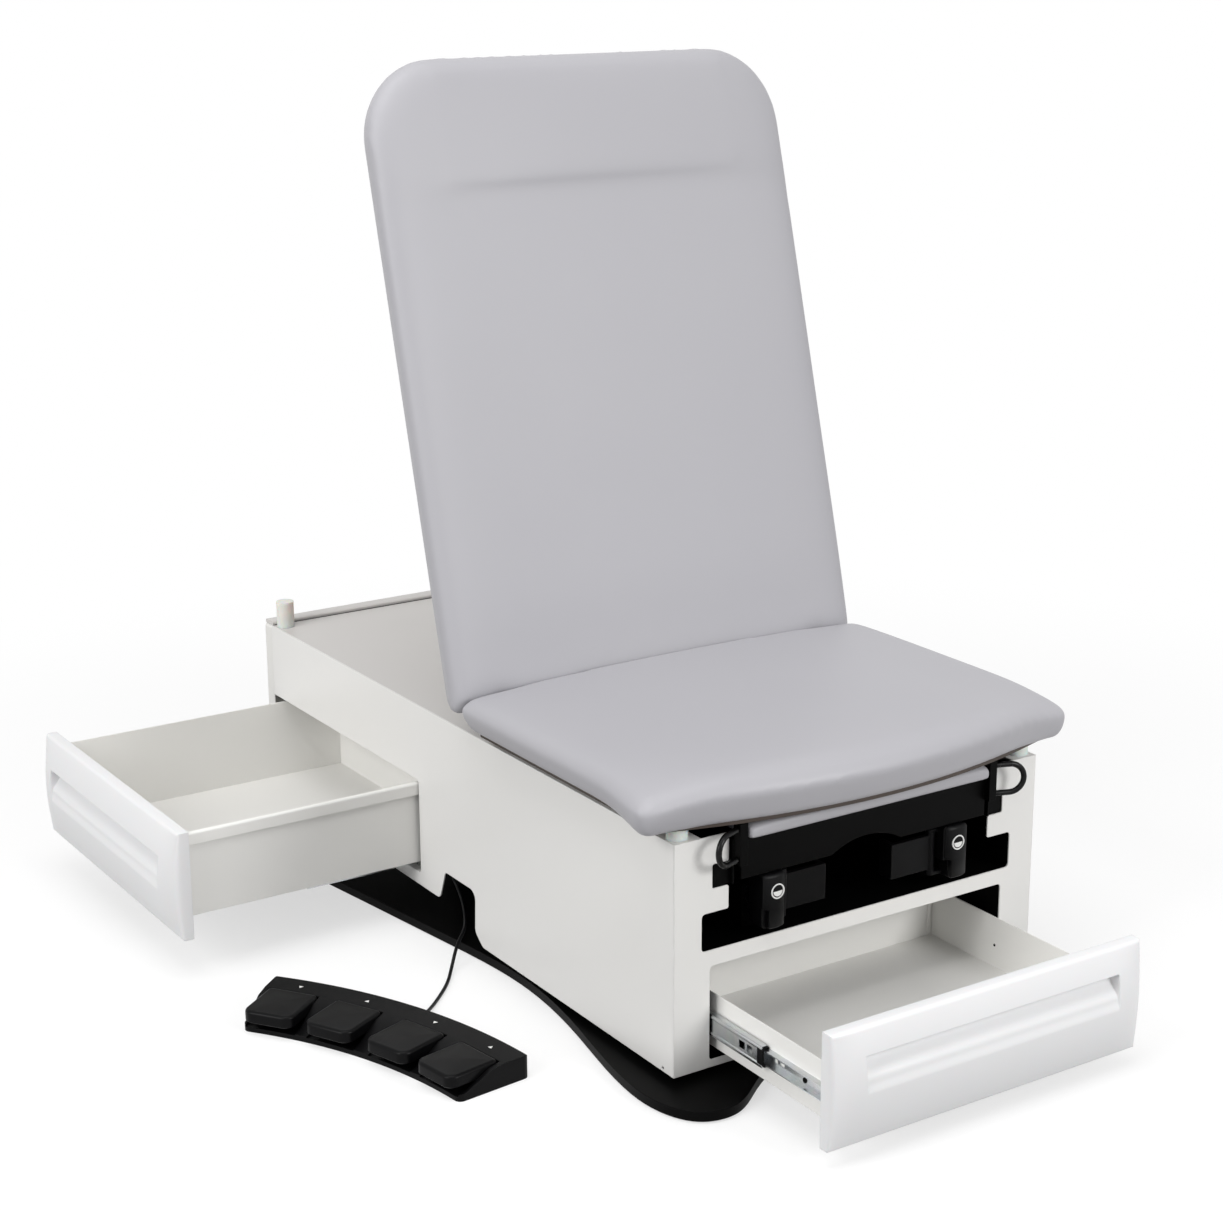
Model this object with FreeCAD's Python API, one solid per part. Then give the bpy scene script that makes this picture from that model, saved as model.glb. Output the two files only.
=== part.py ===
import FreeCAD, Part
import math
import os

from FreeCAD import Vector

# Power examination table. Millimetres, +Z up, floor at z = 0, the foot end faces -Y.
# The origin is on the floor, under the middle of the base plate.

# Cabinet
BODY_WIDTH = 640.0
FRONT_Y = -570.0
REAR_Y = 665.0
BODY_BOTTOM = 28.0
BODY_TOP = 367.0
SHEET = 2.0
REAR_COVER_DEPTH = 25.0
REAR_COVER_WALL = 2.5
REAR_COVER_CORNER = 8.0
SKIRT_RISE = 35.0
# Notch in the lower edge of the side panels: place along the table, height above the edge, corner radius
SKIRT_NOTCH = [(-54.0, 0.0, 16.0), (-31.0, 18.0, 14.0), (-34.0, 85.0, 16.0), (60.0, 85.0, 8.0)]
SKIRT_STEP_Y = 79.0
SKIRT_STEP_CORNER = 12.0
TOP_FLANGE = 44.0
DECK_FRONT_Y = -140.0
CRANK_NOTCH_WIDTH = 36.0
CRANK_NOTCH_LENGTH = 212.0
PANEL_HOLE_INSET = 26.0
PANEL_HOLE_RADIUS = 2.5

# Base plate and its pads
PLATE_THICKNESS = 14.0
PAD_HEIGHT = 3.0
PAD_RADIUS = 30.0
PAD_PLACES = [(0.0, 0.0), (-290.0, -591.0), (290.0, -591.0), (-313.0, 581.0), (313.0, 581.0)]
PLATE_REAR_Y = 661.0
PLATE_FRONT_MIDDLE_Y = -561.0
# Half width of the plate and the place along the table, from the rear to the front
PLATE_EDGE = [
    (240.6, 661.0),
    (337.6, 643.0),
    (388.0, 511.0),
    (375.0, 337.0),
    (334.0, 61.0),
    (312.0, -161.0),
    (335.0, -356.0),
    (365.0, -521.0),
    (361.0, -603.0),
    (330.0, -653.0),
    (285.0, -661.0),
    (225.0, -626.0),
    (145.0, -579.0),
]

# Lift columns, three nested profiles each
COLUMN_X = 170.0
COLUMN_Y = -20.0
COLUMN_SIZE = (110.0, 90.0)
COLUMN_WALL = 4.0
COLUMN_GAP = 0.3
COLUMN_STEP = 5.0
COLUMN_TOP_GAP = 7.0
COLUMN_FLANGE = (150.0, 130.0)
FLANGE_THICKNESS = 8.0
BOLT_RADIUS = 6.0
BOLT_HEAD = 5.0
BOLT_INSET = (14.0, 7.0)
MOUNT_PLATE = (150.0, 130.0)
MOUNT_PLATE_THICKNESS = 8.0

# Openings of the front panel
LEG_OPENING_MARGIN = 3.0
LEG_TAB_MARGIN = (2.0, 3.0)
BAY_OPENING_HALF = 275.0
BAY_LOW = 202.0
BAY_HIGH = 257.0
DRAWER_OPENING_MARGIN = (1.0, 13.0, 11.5)
OPENING_CORNER = 6.0
OPENING_TAB_CORNER = 3.0

# Drawers and their telescopic slides
DRAWER_WALL = 1.5
DRAWER_GAP = 0.5
FACE_THICKNESS = 35.0
FACE_EDGE = 14.0
GRIP_DEPTH = 22.0
GRIP_BACK_HEIGHT = 14.0
GRIP_LEAD = 6.0
GRIP_CORNERS = (3.0, 10.0)
SLIDE_SHEET = 1.5
SLIDE_GAP = 0.3
SLIDE_OUTER_HALF = 17.8
SLIDE_INNER_HALF = 10.8
SLIDE_MIDDLE_FLOOR = 4.0
SLIDE_SETBACK = 10.0
SLIDE_OUTER_SHORT = 5.0
SLIDE_MIDDLE_SHORT = 3.0
# Windows in the webs of the front drawer's slides: distance from the front end, length, height
SLIDE_WINDOWS = {
    "outer": [],
    "middle": [(23.0, 12.0, 11.0), (39.0, 14.0, 11.0)],
    "inner": [(16.0, 9.0, 4.5), (104.0, 9.0, 4.5), (119.0, 6.0, 6.0)],
}
DRAWER_BAY_MARGIN = 12.0
FRONT_TRAVEL = 256.5
FRONT_BOX_HALF = 247.0
FRONT_BOX_LOW = 52.0
FRONT_BOX_HIGH = 132.0
FRONT_BOX_DEPTH = 390.0
FRONT_SLIDE_SPACE = 15.0
FRONT_SLIDE_Z = 91.0
FRONT_FACE_HALF = 270.0
FRONT_FACE_LOW = 26.0
FRONT_FACE_HIGH = 190.0
FRONT_GRIP_HALF = 220.0
FRONT_GRIP_LOW = 102.0
FRONT_GRIP_HIGH = 153.0
SIDE_TRAVEL = 391.5
SIDE_OPENING_Y = 140.0
SIDE_OPENING_LOW = 84.0
SIDE_OPENING_HIGH = 241.0
SIDE_BOX_Y = (148.0, 632.0)
SIDE_BOX_LOW = 101.0
SIDE_BOX_HIGH = 236.0
SIDE_BOX_DEPTH = 500.0
SIDE_LIP = (5.0, 20.0)
SIDE_LIP_ROUND_SHARE = 0.8
SIDE_FACE_Y = (132.0, 682.0)
SIDE_FACE_LOW = 70.0
SIDE_FACE_HIGH = 242.0
SIDE_GRIP_HALF = 225.0
SIDE_GRIP_LOW = 140.0
SIDE_GRIP_HIGH = 194.0
SIDE_SLIDE_INSET = 40.0

# Stirrup compartment and stirrups
TRAY_FLOOR = 198.0
TRAY_WALL_TOP = 262.0
TRAY_LENGTH = 460.0
TRAY_MARGIN = 2.0
STIRRUP_X = 161.0
STIRRUP_HEAD_SIZE = (40.0, 30.0)
STIRRUP_HEAD_LOW = 216.0
STIRRUP_HEAD_HIGH = 295.0
STIRRUP_HEAD_STEP = (9.0, 28.0)
STIRRUP_FRONT_Y = -578.0
STIRRUP_CORNER = 6.0
STIRRUP_STEP_CORNER = 2.0
ARM_SIZE = 20.0
ARM_Z = 248.0
ARM_LENGTH = 430.0
ARM_GAP = 0.3
ARM_WALL = 2.0
SLEEVE_WALL = 3.0
SLEEVE_LENGTH = 100.0
FOOT_BARREL = 7.0
FOOT_PIN = 3.0
FOOT_PIN_GAP = 0.05
FOOT_REACH = 74.0
FOOT_THICKNESS = 8.0
FOOT_Z = (224.0, 284.0)
FOOT_EAR = 5.0
FOOT_INSET = 4.0
FOOT_EAR_LAP = 2.0
FOOT_PIVOT_SPACE = (1.0, 13.0)
FOOT_RIM_DEPTH = 24.0
FOOT_EAR_GAP = 0.3
SLEEVE_SETBACK = 25.0

# Leg extension
LEG_PAD_HALF = 213.0
LEG_PAD_FRONT = -594.0
LEG_REAR_Y = -180.0
LEG_PAD_THICKNESS = 26.0
LEG_PAD_EDGE = 8.0
LEG_TRAY_DROP = 10.0
LEG_PANEL_HALF = 216.0
LEG_PANEL_HEIGHT = 59.0
LEG_PANEL_Y = -578.0
LEG_PANEL_THICKNESS = 3.0
LEG_ARCH_HALF = 61.0
LEG_ARCH_HEIGHT = 17.0
LEG_SIDE_X = 226.0
RUNNER_SIZE = (28.0, 30.0)
RUNNER_DROP = 64.0
RUNNER_GAP = 0.3
GUIDE_LIP_INSET = 8.0
LUG_SIZE = (13.0, 15.0)
LUG_GAP = 1.0
LUG_OVER = 8.5
HANDLE_ROD = 4.25
HANDLE_BELOW = 26.0
HANDLE_ABOVE = 17.0
HANDLE_STRAIGHT = 24.0
HANDLE_SPLAY = 21.0
HANDLE_SEAT = 5.0
HANDLE_FIT = 0.05
HANDLE_OFFSET = 6.0

# Seat and back
RAIL_HEIGHT = 19.0
BOARD_THICKNESS = 12.0
SEAT_OVERHANG = 35.0
SEAT_FRONT_Y = -632.0
SEAT_FRONT_RADIUS = 1070.0
SEAT_FRONT_SLOPE = 16.5
SEAT_FRONT_CORNER = 24.0
SEAT_REAR_CORNER = 6.0
SEAT_REAR_DRAW = 8.0
SEAT_FRONT_EASE = 60.0
SEAT_CORNER_MIN = 12.0
SEAT_FOAM = 59.0
SEAT_BOARD_INSET = 14.0
CROWN = 6.0
CUSHION_OVERHANG = 15.0
# Side of a cushion: share of its height and how far it is drawn in there
CUSHION_SIDE = [(0.0, 13.0), (0.16, 7.0), (0.36, 2.0), (0.6, 0.0), (0.78, 5.0), (0.91, 15.0), (1.0, 36.0)]
CUSHION_CLEAR = 20.0
SEAT_FRONT_CLEAR = 60.0
HINGE_Y = -64.0
HINGE_NOSE = 20.0
HINGE_JOINT_GAP = 0.5
BACK_ANGLE = 75.0
BACK_EXTRA = 5.0
BACK_LENGTH = 940.0
BACK_TOP_NARROW = 3.0
BACK_TOP_CORNER = 120.0
BACK_FOAM = 58.0
HEADREST_LENGTH = 184.0
HEADREST_RISE = 8.0
HEADREST_BAND = 30.0
POST_RADIUS = 15.0
POST_INSET = 18.0
POST_FRONT_Y = -550.0
POST_REAR_Y = 645.0
POST_REAR_HEIGHT = 45.0
RAIL_WIDTH = 18.0
RAIL_FRONT_Y = -525.0
EAR_THICKNESS = 6.0
EAR_LENGTH = 30.0
EAR_RADIUS = 13.0
HINGE_PIN = 5.0
HINGE_PIN_PROUD = 1.0
PIN_FIT = 0.05
ARM_SIDE_GAP = 0.3
RIB_DEPTH = 18.0
RIB_LENGTH = 660.0
RIB_RADIUS = 12.0
CROSS_BAR = (20.0, 60.0)
POCKET_MARGIN = 2.0

# Back actuator: a fixed drive below the deck pulls the slotted crank of the back
ACTUATOR_DROP = 22.0
ACTUATOR_TUBE = 18.0
ACTUATOR_Y = (150.0, 540.0)
ROD_RADIUS = 9.0
ROD_FIT = 0.1
ROD_LENGTH = 300.0
FORK_THICKNESS = 5.6
FORK_HALF = 12.0
FORK_LENGTH = 44.0
CRANK_THICKNESS = 8.0
CRANK_GAP = 0.4
CRANK_MIDDLE = 38.6
CRANK_SLOT_HALF = 10.5
CRANK_WALL = 7.0
CRANK_PIN = 5.0
CRANK_SLOT_SPARE = (4.0, 2.0)
CRANK_ROOT = 40.0
CRANK_LAP = 3.0
CRANK_CORNER = 10.0
CRANK_SLOT_CORNER = 6.0
MOTOR_SIZE = (70.0, 70.0, 75.0)
MOTOR_TOP_DROP = 3.0
MOTOR_CORNERS = (14.0, 14.0, 6.0, 6.0)
ROD_RUNOUT = 20.0
CLAMP_SIZE = (50.0, 15.0)
CLAMP_MARGIN = 10.0
CLAMP_UNDER = 6.0

# Control box, mains inlet and foot control
CONTROL_BOX = (240.0, 150.0, 53.0)
CONTROL_BOX_Y = 230.0
CONTROL_BOX_CORNER = 8.0
GLAND_RADIUS = 7.0
GLAND_LENGTH = 9.0
GLAND_Y = 290.0
GLAND_Z = 26.0
INLET_X = 210.0
INLET_Z = 105.0
INLET_SIZE = (48.0, 28.0)
INLET_DEPTH = 24.0
INLET_RIM = (3.0, 2.0)
INLET_WALL = 7.0
INLET_FLOOR = 5.0
INLET_BLADE = (1.0, 2.0)
INLET_BLADES = ((-7.0, 2.0), (7.0, 2.0), (0.0, -3.0))
FOOT_ORIGIN = (-621.0, -230.0)
FOOT_TURN = -67.3
FOOT_HALF_ANGLE = 16.9
FOOT_FRONT_RADIUS = 679.0
FOOT_DEPTH = 121.0
FOOT_CORNER = 10.0
FOOT_TRAY = 7.0
# Upper side of the foot control from its front to its rear: distance from the front edge, height
FOOT_TOP = [(0.0, 9.0), (14.0, 12.0), (56.0, 32.0), (79.0, 35.0), (116.0, 35.0), (121.0, 30.0)]
PEDAL_ANGLES = (-13.1, -4.6, 4.6, 13.1)
PEDAL_WIDTH = 80.0
PEDAL_FRONT_RADIUS = 667.0
PEDAL_REAR_RADIUS = 752.0
PEDAL_THICKNESS = 20.0
PEDAL_PIVOT_RADIUS = 742.0
PEDAL_PIVOT_Z = 28.0
PEDAL_PIN = 3.0
PEDAL_FIT = 0.05
PEDAL_BARREL = 6.5
PEDAL_CROWN = 3.0
PEDAL_DROP = 11.0
PEDAL_CORNERS = (16.0, 16.0, 7.0, 7.0)
PEDAL_SIDE_GAP = 1.0
PEDAL_REAR_GAP = 2.0
PEDAL_PIN_SEAT = 6.0
CORD_DIAMETER = 5.5
CORD_ARC_SHARE = 0.45
RELIEF_RADIUS = 5.5
RELIEF_LENGTH = 30.0

# Route of the foot control's cord: from the strain relief over the floor, up on the plate, to the gland
CORD_ROUTE = [
    (-490.0, -179.5, 13.0),
    (-470.0, -156.0, 4.5),
    (-440.0, -128.0, 3.2),
    (-402.0, -89.0, 3.2),
    (-374.0, -50.0, 4.0),
    (-345.0, -17.0, 25.5),
    (-309.0, 22.0, 26.5),
    (-279.0, 72.0, 20.5),
    (-249.0, 133.0, 20.2),
    (-226.0, 192.0, 20.5),
    (-207.0, 246.0, 20.2),
    (-172.0, 290.0, 26.0),
    (-129.0, 290.0, 26.0),
]

# Cutting shapes run past the piece by the overrun
OVERRUN = 1.0
TOLERANCE = 1e-6

HALF = BODY_WIDTH / 2
PLATE_TOP = PAD_HEIGHT + PLATE_THICKNESS
INNER_HALF = HALF - SHEET
DRAWER_OPENING_HALF = FRONT_BOX_HALF + FRONT_SLIDE_SPACE - DRAWER_OPENING_MARGIN[0]
DRAWER_OPENING_LOW = FRONT_FACE_LOW + DRAWER_OPENING_MARGIN[1]
DRAWER_OPENING_HIGH = FRONT_FACE_HIGH - DRAWER_OPENING_MARGIN[2]
LEG_TRAY_TOP = BODY_TOP - LEG_TRAY_DROP
LEG_PANEL_LOW = LEG_TRAY_TOP - LEG_PANEL_HEIGHT
RUNNER_LOW = LEG_TRAY_TOP - RUNNER_DROP
HANDLE_LOW = LEG_TRAY_TOP - HANDLE_BELOW
HANDLE_HIGH = LEG_TRAY_TOP + HANDLE_ABOVE
LEG_OPENING_HALF = LEG_SIDE_X + SHEET + LEG_OPENING_MARGIN
LEG_TAB_HALF = LEG_SIDE_X + SHEET + RUNNER_SIZE[0] + LEG_TAB_MARGIN[0]
LEG_TAB_LOW = RUNNER_LOW - LEG_TAB_MARGIN[0]
LEG_TAB_HIGH = RUNNER_LOW + RUNNER_SIZE[1] + LEG_TAB_MARGIN[1]
SEAT_HALF = HALF + SEAT_OVERHANG
SEAT_BOARD_LOW = BODY_TOP + RAIL_HEIGHT
CUSHION_LOW = SEAT_BOARD_LOW + BOARD_THICKNESS
SEAT_TOP = CUSHION_LOW + SEAT_FOAM
SEAT_REAR_Y = HINGE_Y - HINGE_NOSE - HINGE_JOINT_GAP
HINGE_Z = SEAT_TOP - HINGE_NOSE
CUSHION_HALF = SEAT_HALF + CUSHION_OVERHANG
RAIL_X = (HALF - TOP_FLANGE, HALF - TOP_FLANGE + RAIL_WIDTH)
ACTUATOR_Z = BODY_TOP - ACTUATOR_DROP
MOUNT_PLATE_LOW = BODY_TOP - SHEET - MOUNT_PLATE_THICKNESS
BOARD_LOCAL = HINGE_NOSE - BACK_FOAM - BOARD_THICKNESS
X_AXIS = Vector(1, 0, 0)
Y_AXIS = Vector(0, 1, 0)
Z_AXIS = Vector(0, 0, 1)


def block(x, y, z):
    """Box between the two values given for each axis, in either order."""
    low = Vector(min(x), min(y), min(z))
    size = [abs(a[1] - a[0]) for a in (x, y, z)]
    return Part.makeBox(size[0], size[1], size[2], low)


def rod(start, end, radius):
    """Round bar between two points."""
    start, end = Vector(*start), Vector(*end)
    return Part.makeCylinder(radius, (end - start).Length, start, end - start)


def rounded_wire(points, radii):
    """Closed outline through the points, each corner replaced by a tangent arc."""
    corners = []
    count = len(points)
    for i, (point, radius) in enumerate(zip(points, radii)):
        before = (points[i - 1] - point).normalize()
        after = (points[(i + 1) % count] - point).normalize()
        if radius <= 0:
            corners.append((point, None, point))
            continue
        half = before.getAngle(after) / 2
        reach = radius / math.tan(half)
        middle = (before + after).normalize()
        top = point + middle * (radius / math.sin(half) - radius)
        corners.append((point + before * reach, top, point + after * reach))
    edges = []
    for i, (start, top, end) in enumerate(corners):
        if top is not None:
            edges.append(Part.Arc(start, top, end).toShape())
        following = corners[(i + 1) % count][0]
        if (following - end).Length > TOLERANCE:
            edges.append(Part.makeLine(end, following))
    return Part.Wire(edges)


def open_lines(points):
    return [Part.makeLine(a, b) for a, b in zip(points, points[1:])]


def prism(points, radii, axis, low, high):
    """Outline in the plane across an axis, drawn out from low to high along it."""
    place = {
        "x": lambda a, b: Vector(low, a, b),
        "y": lambda a, b: Vector(a, low, b),
        "z": lambda a, b: Vector(a, b, low),
    }[axis]
    along = {"x": X_AXIS, "y": Y_AXIS, "z": Z_AXIS}[axis]
    wire = rounded_wire([place(*p) for p in points], radii)
    return Part.Face(wire).extrude(along * (high - low))


def mirrored(shape):
    return shape.mirror(Vector(0, 0, 0), X_AXIS)


def both_sides(shape):
    """The shape and its mirror image at the other side of the table."""
    return Part.makeCompound([shape, mirrored(shape)])


def moved(shape, vector):
    copy = shape.copy()
    copy.translate(Vector(*vector))
    return copy


def raised(shape):
    """Turns a shape of the back from lying flat to the photographed angle."""
    copy = shape.copy()
    copy.translate(Vector(0, HINGE_Y, HINGE_Z))
    copy.rotate(Vector(0, HINGE_Y, HINGE_Z), X_AXIS, BACK_ANGLE)
    return copy


def export(name, shape):
    shape.exportStep("parts/" + name + ".step")


def base_plate():
    """Floor plate with a waist, four round lobes and a concave front edge."""
    points = [Vector(0, PLATE_REAR_Y, PAD_HEIGHT)]
    points += [Vector(-half, y, PAD_HEIGHT) for half, y in PLATE_EDGE]
    points.append(Vector(0, PLATE_FRONT_MIDDLE_Y, PAD_HEIGHT))
    points += [Vector(half, y, PAD_HEIGHT) for half, y in reversed(PLATE_EDGE)]
    curve = Part.BSplineCurve()
    curve.interpolate(Points=points, PeriodicFlag=True)
    return Part.Face(Part.Wire([curve.toShape()])).extrude(Z_AXIS * PLATE_THICKNESS)


def floor_pads():
    return Part.makeCompound([rod((x, y, 0), (x, y, PAD_HEIGHT), PAD_RADIUS) for x, y in PAD_PLACES])


def centred_block(size, z):
    return block((-size[0] / 2, size[0] / 2), (-size[1] / 2, size[1] / 2), z)


def profile_tube(size, wall, low, high):
    """Rectangular hollow column standing on its axis."""
    inner = (size[0] - 2 * wall, size[1] - 2 * wall)
    return centred_block(size, (low, high)).cut(centred_block(inner, (low - OVERRUN, high + OVERRUN)))


def at_columns(shape):
    return both_sides(moved(shape, (COLUMN_X, COLUMN_Y, 0)))


def flange_bolt_places():
    x = COLUMN_FLANGE[0] / 2 - BOLT_INSET[0]
    y = COLUMN_FLANGE[1] / 2 - BOLT_INSET[1]
    return [(-x, -y), (-x, y), (x, -y), (x, y)]


def column_stage(stage):
    """One of the three nested profiles: 0 stands on the plate, 2 carries the cabinet."""
    shrink = 2 * stage * (COLUMN_WALL + COLUMN_GAP)
    size = (COLUMN_SIZE[0] - shrink, COLUMN_SIZE[1] - shrink)
    low = PLATE_TOP + stage * COLUMN_STEP
    high = MOUNT_PLATE_LOW - (COLUMN_TOP_GAP if stage < 2 else 0)
    tube = profile_tube(size, COLUMN_WALL, low, high)
    if stage == 0:
        foot = centred_block(COLUMN_FLANGE, (low, low + FLANGE_THICKNESS))
        tube = tube.fuse(foot.cut(centred_block(size, (low, high)))).removeSplitter()
        for x, y in flange_bolt_places():
            tube = tube.cut(rod((x, y, low), (x, y, low + FLANGE_THICKNESS), BOLT_RADIUS / 2))
    return at_columns(tube)


def column_bolts():
    """Bolts that hold the column flanges on the plate, heads on top of the flange."""
    low = PLATE_TOP + FLANGE_THICKNESS
    bolts = []
    for x, y in flange_bolt_places():
        head = rod((x, y, low), (x, y, low + BOLT_HEAD), BOLT_RADIUS)
        shank = rod((x, y, PLATE_TOP), (x, y, low), BOLT_RADIUS / 2)
        bolts.append(at_columns(head.fuse(shank)))
    return Part.makeCompound([solid for pair in bolts for solid in pair.Solids])


def column_mount_plates():
    return at_columns(centred_block(MOUNT_PLATE, (MOUNT_PLATE_LOW, BODY_TOP - SHEET)))


def side_panel(has_drawer):
    """Left panel: folded sheet with a top flange, a cable notch and the side drawer's opening."""
    rise = BODY_BOTTOM + SKIRT_RISE
    front = FRONT_Y + SHEET
    outline = [(front, BODY_BOTTOM)]
    outline += [(y, BODY_BOTTOM + height) for y, height, corner in SKIRT_NOTCH]
    outline += [(SKIRT_STEP_Y, rise), (REAR_Y, rise), (REAR_Y, BODY_TOP), (front, BODY_TOP)]
    radii = [0] + [corner for y, height, corner in SKIRT_NOTCH] + [SKIRT_STEP_CORNER, 0, 0, 0]
    panel = prism(outline, radii, "x", -HALF, -INNER_HALF)
    flange_x = (-INNER_HALF, -HALF + TOP_FLANGE)
    panel = panel.fuse(block(flange_x, (front, DECK_FRONT_Y), (BODY_TOP - SHEET, BODY_TOP)))
    if has_drawer:
        opening = [
            (SIDE_OPENING_Y, SIDE_OPENING_LOW),
            (REAR_Y + OVERRUN, SIDE_OPENING_LOW),
            (REAR_Y + OVERRUN, SIDE_OPENING_HIGH),
            (SIDE_OPENING_Y, SIDE_OPENING_HIGH),
        ]
        radii = [OPENING_CORNER, 0, 0, OPENING_CORNER]
        panel = panel.cut(prism(opening, radii, "x", -HALF - OVERRUN, -INNER_HALF + OVERRUN))
        y = FRONT_Y + PANEL_HOLE_INSET
        z = BODY_BOTTOM + PANEL_HOLE_RADIUS * 2
        panel = panel.cut(rod((-HALF - OVERRUN, y, z), (-INNER_HALF + OVERRUN, y, z), PANEL_HOLE_RADIUS))
        return panel.removeSplitter()
    return mirrored(panel.removeSplitter())


def front_panel():
    """Sheet with the leg extension's opening, the stirrup opening and the front drawer's opening."""
    panel = block((-HALF, HALF), (FRONT_Y, FRONT_Y + SHEET), (BODY_BOTTOM, BODY_TOP))
    half = [
        (BAY_OPENING_HALF, BAY_LOW),
        (BAY_OPENING_HALF, BAY_HIGH),
        (LEG_OPENING_HALF, BAY_HIGH),
        (LEG_OPENING_HALF, LEG_TAB_LOW),
        (LEG_TAB_HALF, LEG_TAB_LOW),
        (LEG_TAB_HALF, LEG_TAB_HIGH),
        (LEG_OPENING_HALF, LEG_TAB_HIGH),
        (LEG_OPENING_HALF, BODY_TOP + OVERRUN),
    ]
    outline = half + [(-x, z) for x, z in reversed(half)]
    radii = [OPENING_CORNER] * 2 + [OPENING_TAB_CORNER] * 5 + [0]
    panel = panel.cut(prism(outline, radii + radii[::-1], "y", FRONT_Y - OVERRUN, FRONT_Y + SHEET + OVERRUN))
    x = DRAWER_OPENING_HALF
    low, high = DRAWER_OPENING_LOW, DRAWER_OPENING_HIGH
    drawer = [(-x, low), (x, low), (x, high), (-x, high)]
    return panel.cut(prism(drawer, [OPENING_CORNER] * 4, "y", FRONT_Y - OVERRUN, FRONT_Y + SHEET + OVERRUN))


def rear_cover():
    """Shallow moulded cover closed at the rear and open towards the cabinet, with the inlet's window."""
    low = BODY_BOTTOM + SKIRT_RISE
    rear = REAR_Y + REAR_COVER_DEPTH
    wall = REAR_COVER_WALL
    outline = [(-HALF, low), (HALF, low), (HALF, BODY_TOP), (-HALF, BODY_TOP)]
    shell = prism(outline, [REAR_COVER_CORNER] * 4, "y", REAR_Y, rear)
    hollow = block((-HALF + wall, HALF - wall), (REAR_Y, rear - wall), (low + wall, BODY_TOP - wall))
    window = inlet_block(0, (rear - wall - OVERRUN, rear + OVERRUN))
    return shell.cut(hollow).cut(window)


def inlet_block(inset, y):
    half_x = INLET_SIZE[0] / 2 - inset
    half_z = INLET_SIZE[1] / 2 - inset
    return block((INLET_X - half_x, INLET_X + half_x), y, (INLET_Z - half_z, INLET_Z + half_z))


def mains_inlet():
    """Inlet socket held in the rear cover, with its three contact blades."""
    rear = REAR_Y + REAR_COVER_DEPTH
    body = inlet_block(0, (rear - INLET_DEPTH, rear))
    rim = inlet_block(-INLET_RIM[0], (rear, rear + INLET_RIM[1]))
    floor = rear - INLET_DEPTH + INLET_FLOOR
    socket = inlet_block(INLET_WALL, (floor, rear + INLET_RIM[1] + OVERRUN))
    inlet = body.fuse(rim).cut(socket)
    half_x, half_z = INLET_BLADE
    for x, z in INLET_BLADES:
        blade_x = (INLET_X + x - half_x, INLET_X + x + half_x)
        blade_z = (INLET_Z + z - half_z, INLET_Z + z + half_z)
        inlet = inlet.fuse(block(blade_x, (floor - OVERRUN, rear - INLET_FLOOR), blade_z))
    return inlet.removeSplitter()


def top_deck():
    """Sheet over the rear of the cabinet, notched for the crank of the back."""
    z = (BODY_TOP - SHEET, BODY_TOP)
    deck = block((-INNER_HALF, INNER_HALF), (DECK_FRONT_Y, REAR_Y), z)
    half = CRANK_NOTCH_WIDTH / 2
    return deck.cut(block((-half, half), (DECK_FRONT_Y, DECK_FRONT_Y + CRANK_NOTCH_LENGTH), z))


def front_bay_walls():
    """Upright sheets beside the front drawer; they carry its slides and the tray above."""
    x = FRONT_BOX_HALF + FRONT_SLIDE_SPACE
    rear = FRONT_Y + SHEET + FRONT_BOX_DEPTH + DRAWER_BAY_MARGIN
    z = (BODY_BOTTOM + SHEET, TRAY_FLOOR - SHEET)
    return both_sides(block((x, x + SHEET), (FRONT_Y + SHEET, rear), z))


def stirrup_tray():
    """Black channel under the stirrups, fixed between the front panel and the bay walls."""
    y = (FRONT_Y + SHEET, FRONT_Y + SHEET + TRAY_LENGTH)
    inner = BAY_OPENING_HALF + TRAY_MARGIN
    floor = block((-inner - SHEET, inner + SHEET), y, (TRAY_FLOOR - SHEET, TRAY_FLOOR))
    wall = block((inner, inner + SHEET), y, (TRAY_FLOOR, TRAY_WALL_TOP))
    rear = block((-inner, inner), (y[1] - SHEET, y[1]), (TRAY_FLOOR, TRAY_WALL_TOP))
    return floor.fuse([wall, mirrored(wall), rear]).removeSplitter()


def side_bay_floor():
    """Sheet between the side panels that carries the side drawer's slides."""
    z = (SIDE_OPENING_LOW - SHEET, SIDE_OPENING_LOW)
    return block((-INNER_HALF, INNER_HALF), (SIDE_FACE_Y[0], REAR_Y), z)


def slide_section(member, space):
    """Web and flanges of one slide member as (depth range, width range), depth from the fixed side."""
    s = SLIDE_SHEET
    if member == "outer":
        half, web, flange = SLIDE_OUTER_HALF, (0, s), (0, space - SLIDE_OUTER_SHORT)
    elif member == "middle":
        half = SLIDE_OUTER_HALF - s - SLIDE_GAP
        web = (SLIDE_MIDDLE_FLOOR, SLIDE_MIDDLE_FLOOR + s)
        flange = (SLIDE_MIDDLE_FLOOR, space - SLIDE_MIDDLE_SHORT)
    else:
        half = SLIDE_INNER_HALF
        web, flange = (space - s, space), (SLIDE_MIDDLE_FLOOR + s + SLIDE_GAP, space)
    return [(web, (-half, half)), (flange, (-half, -half + s)), (flange, (half - s, half))]


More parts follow.
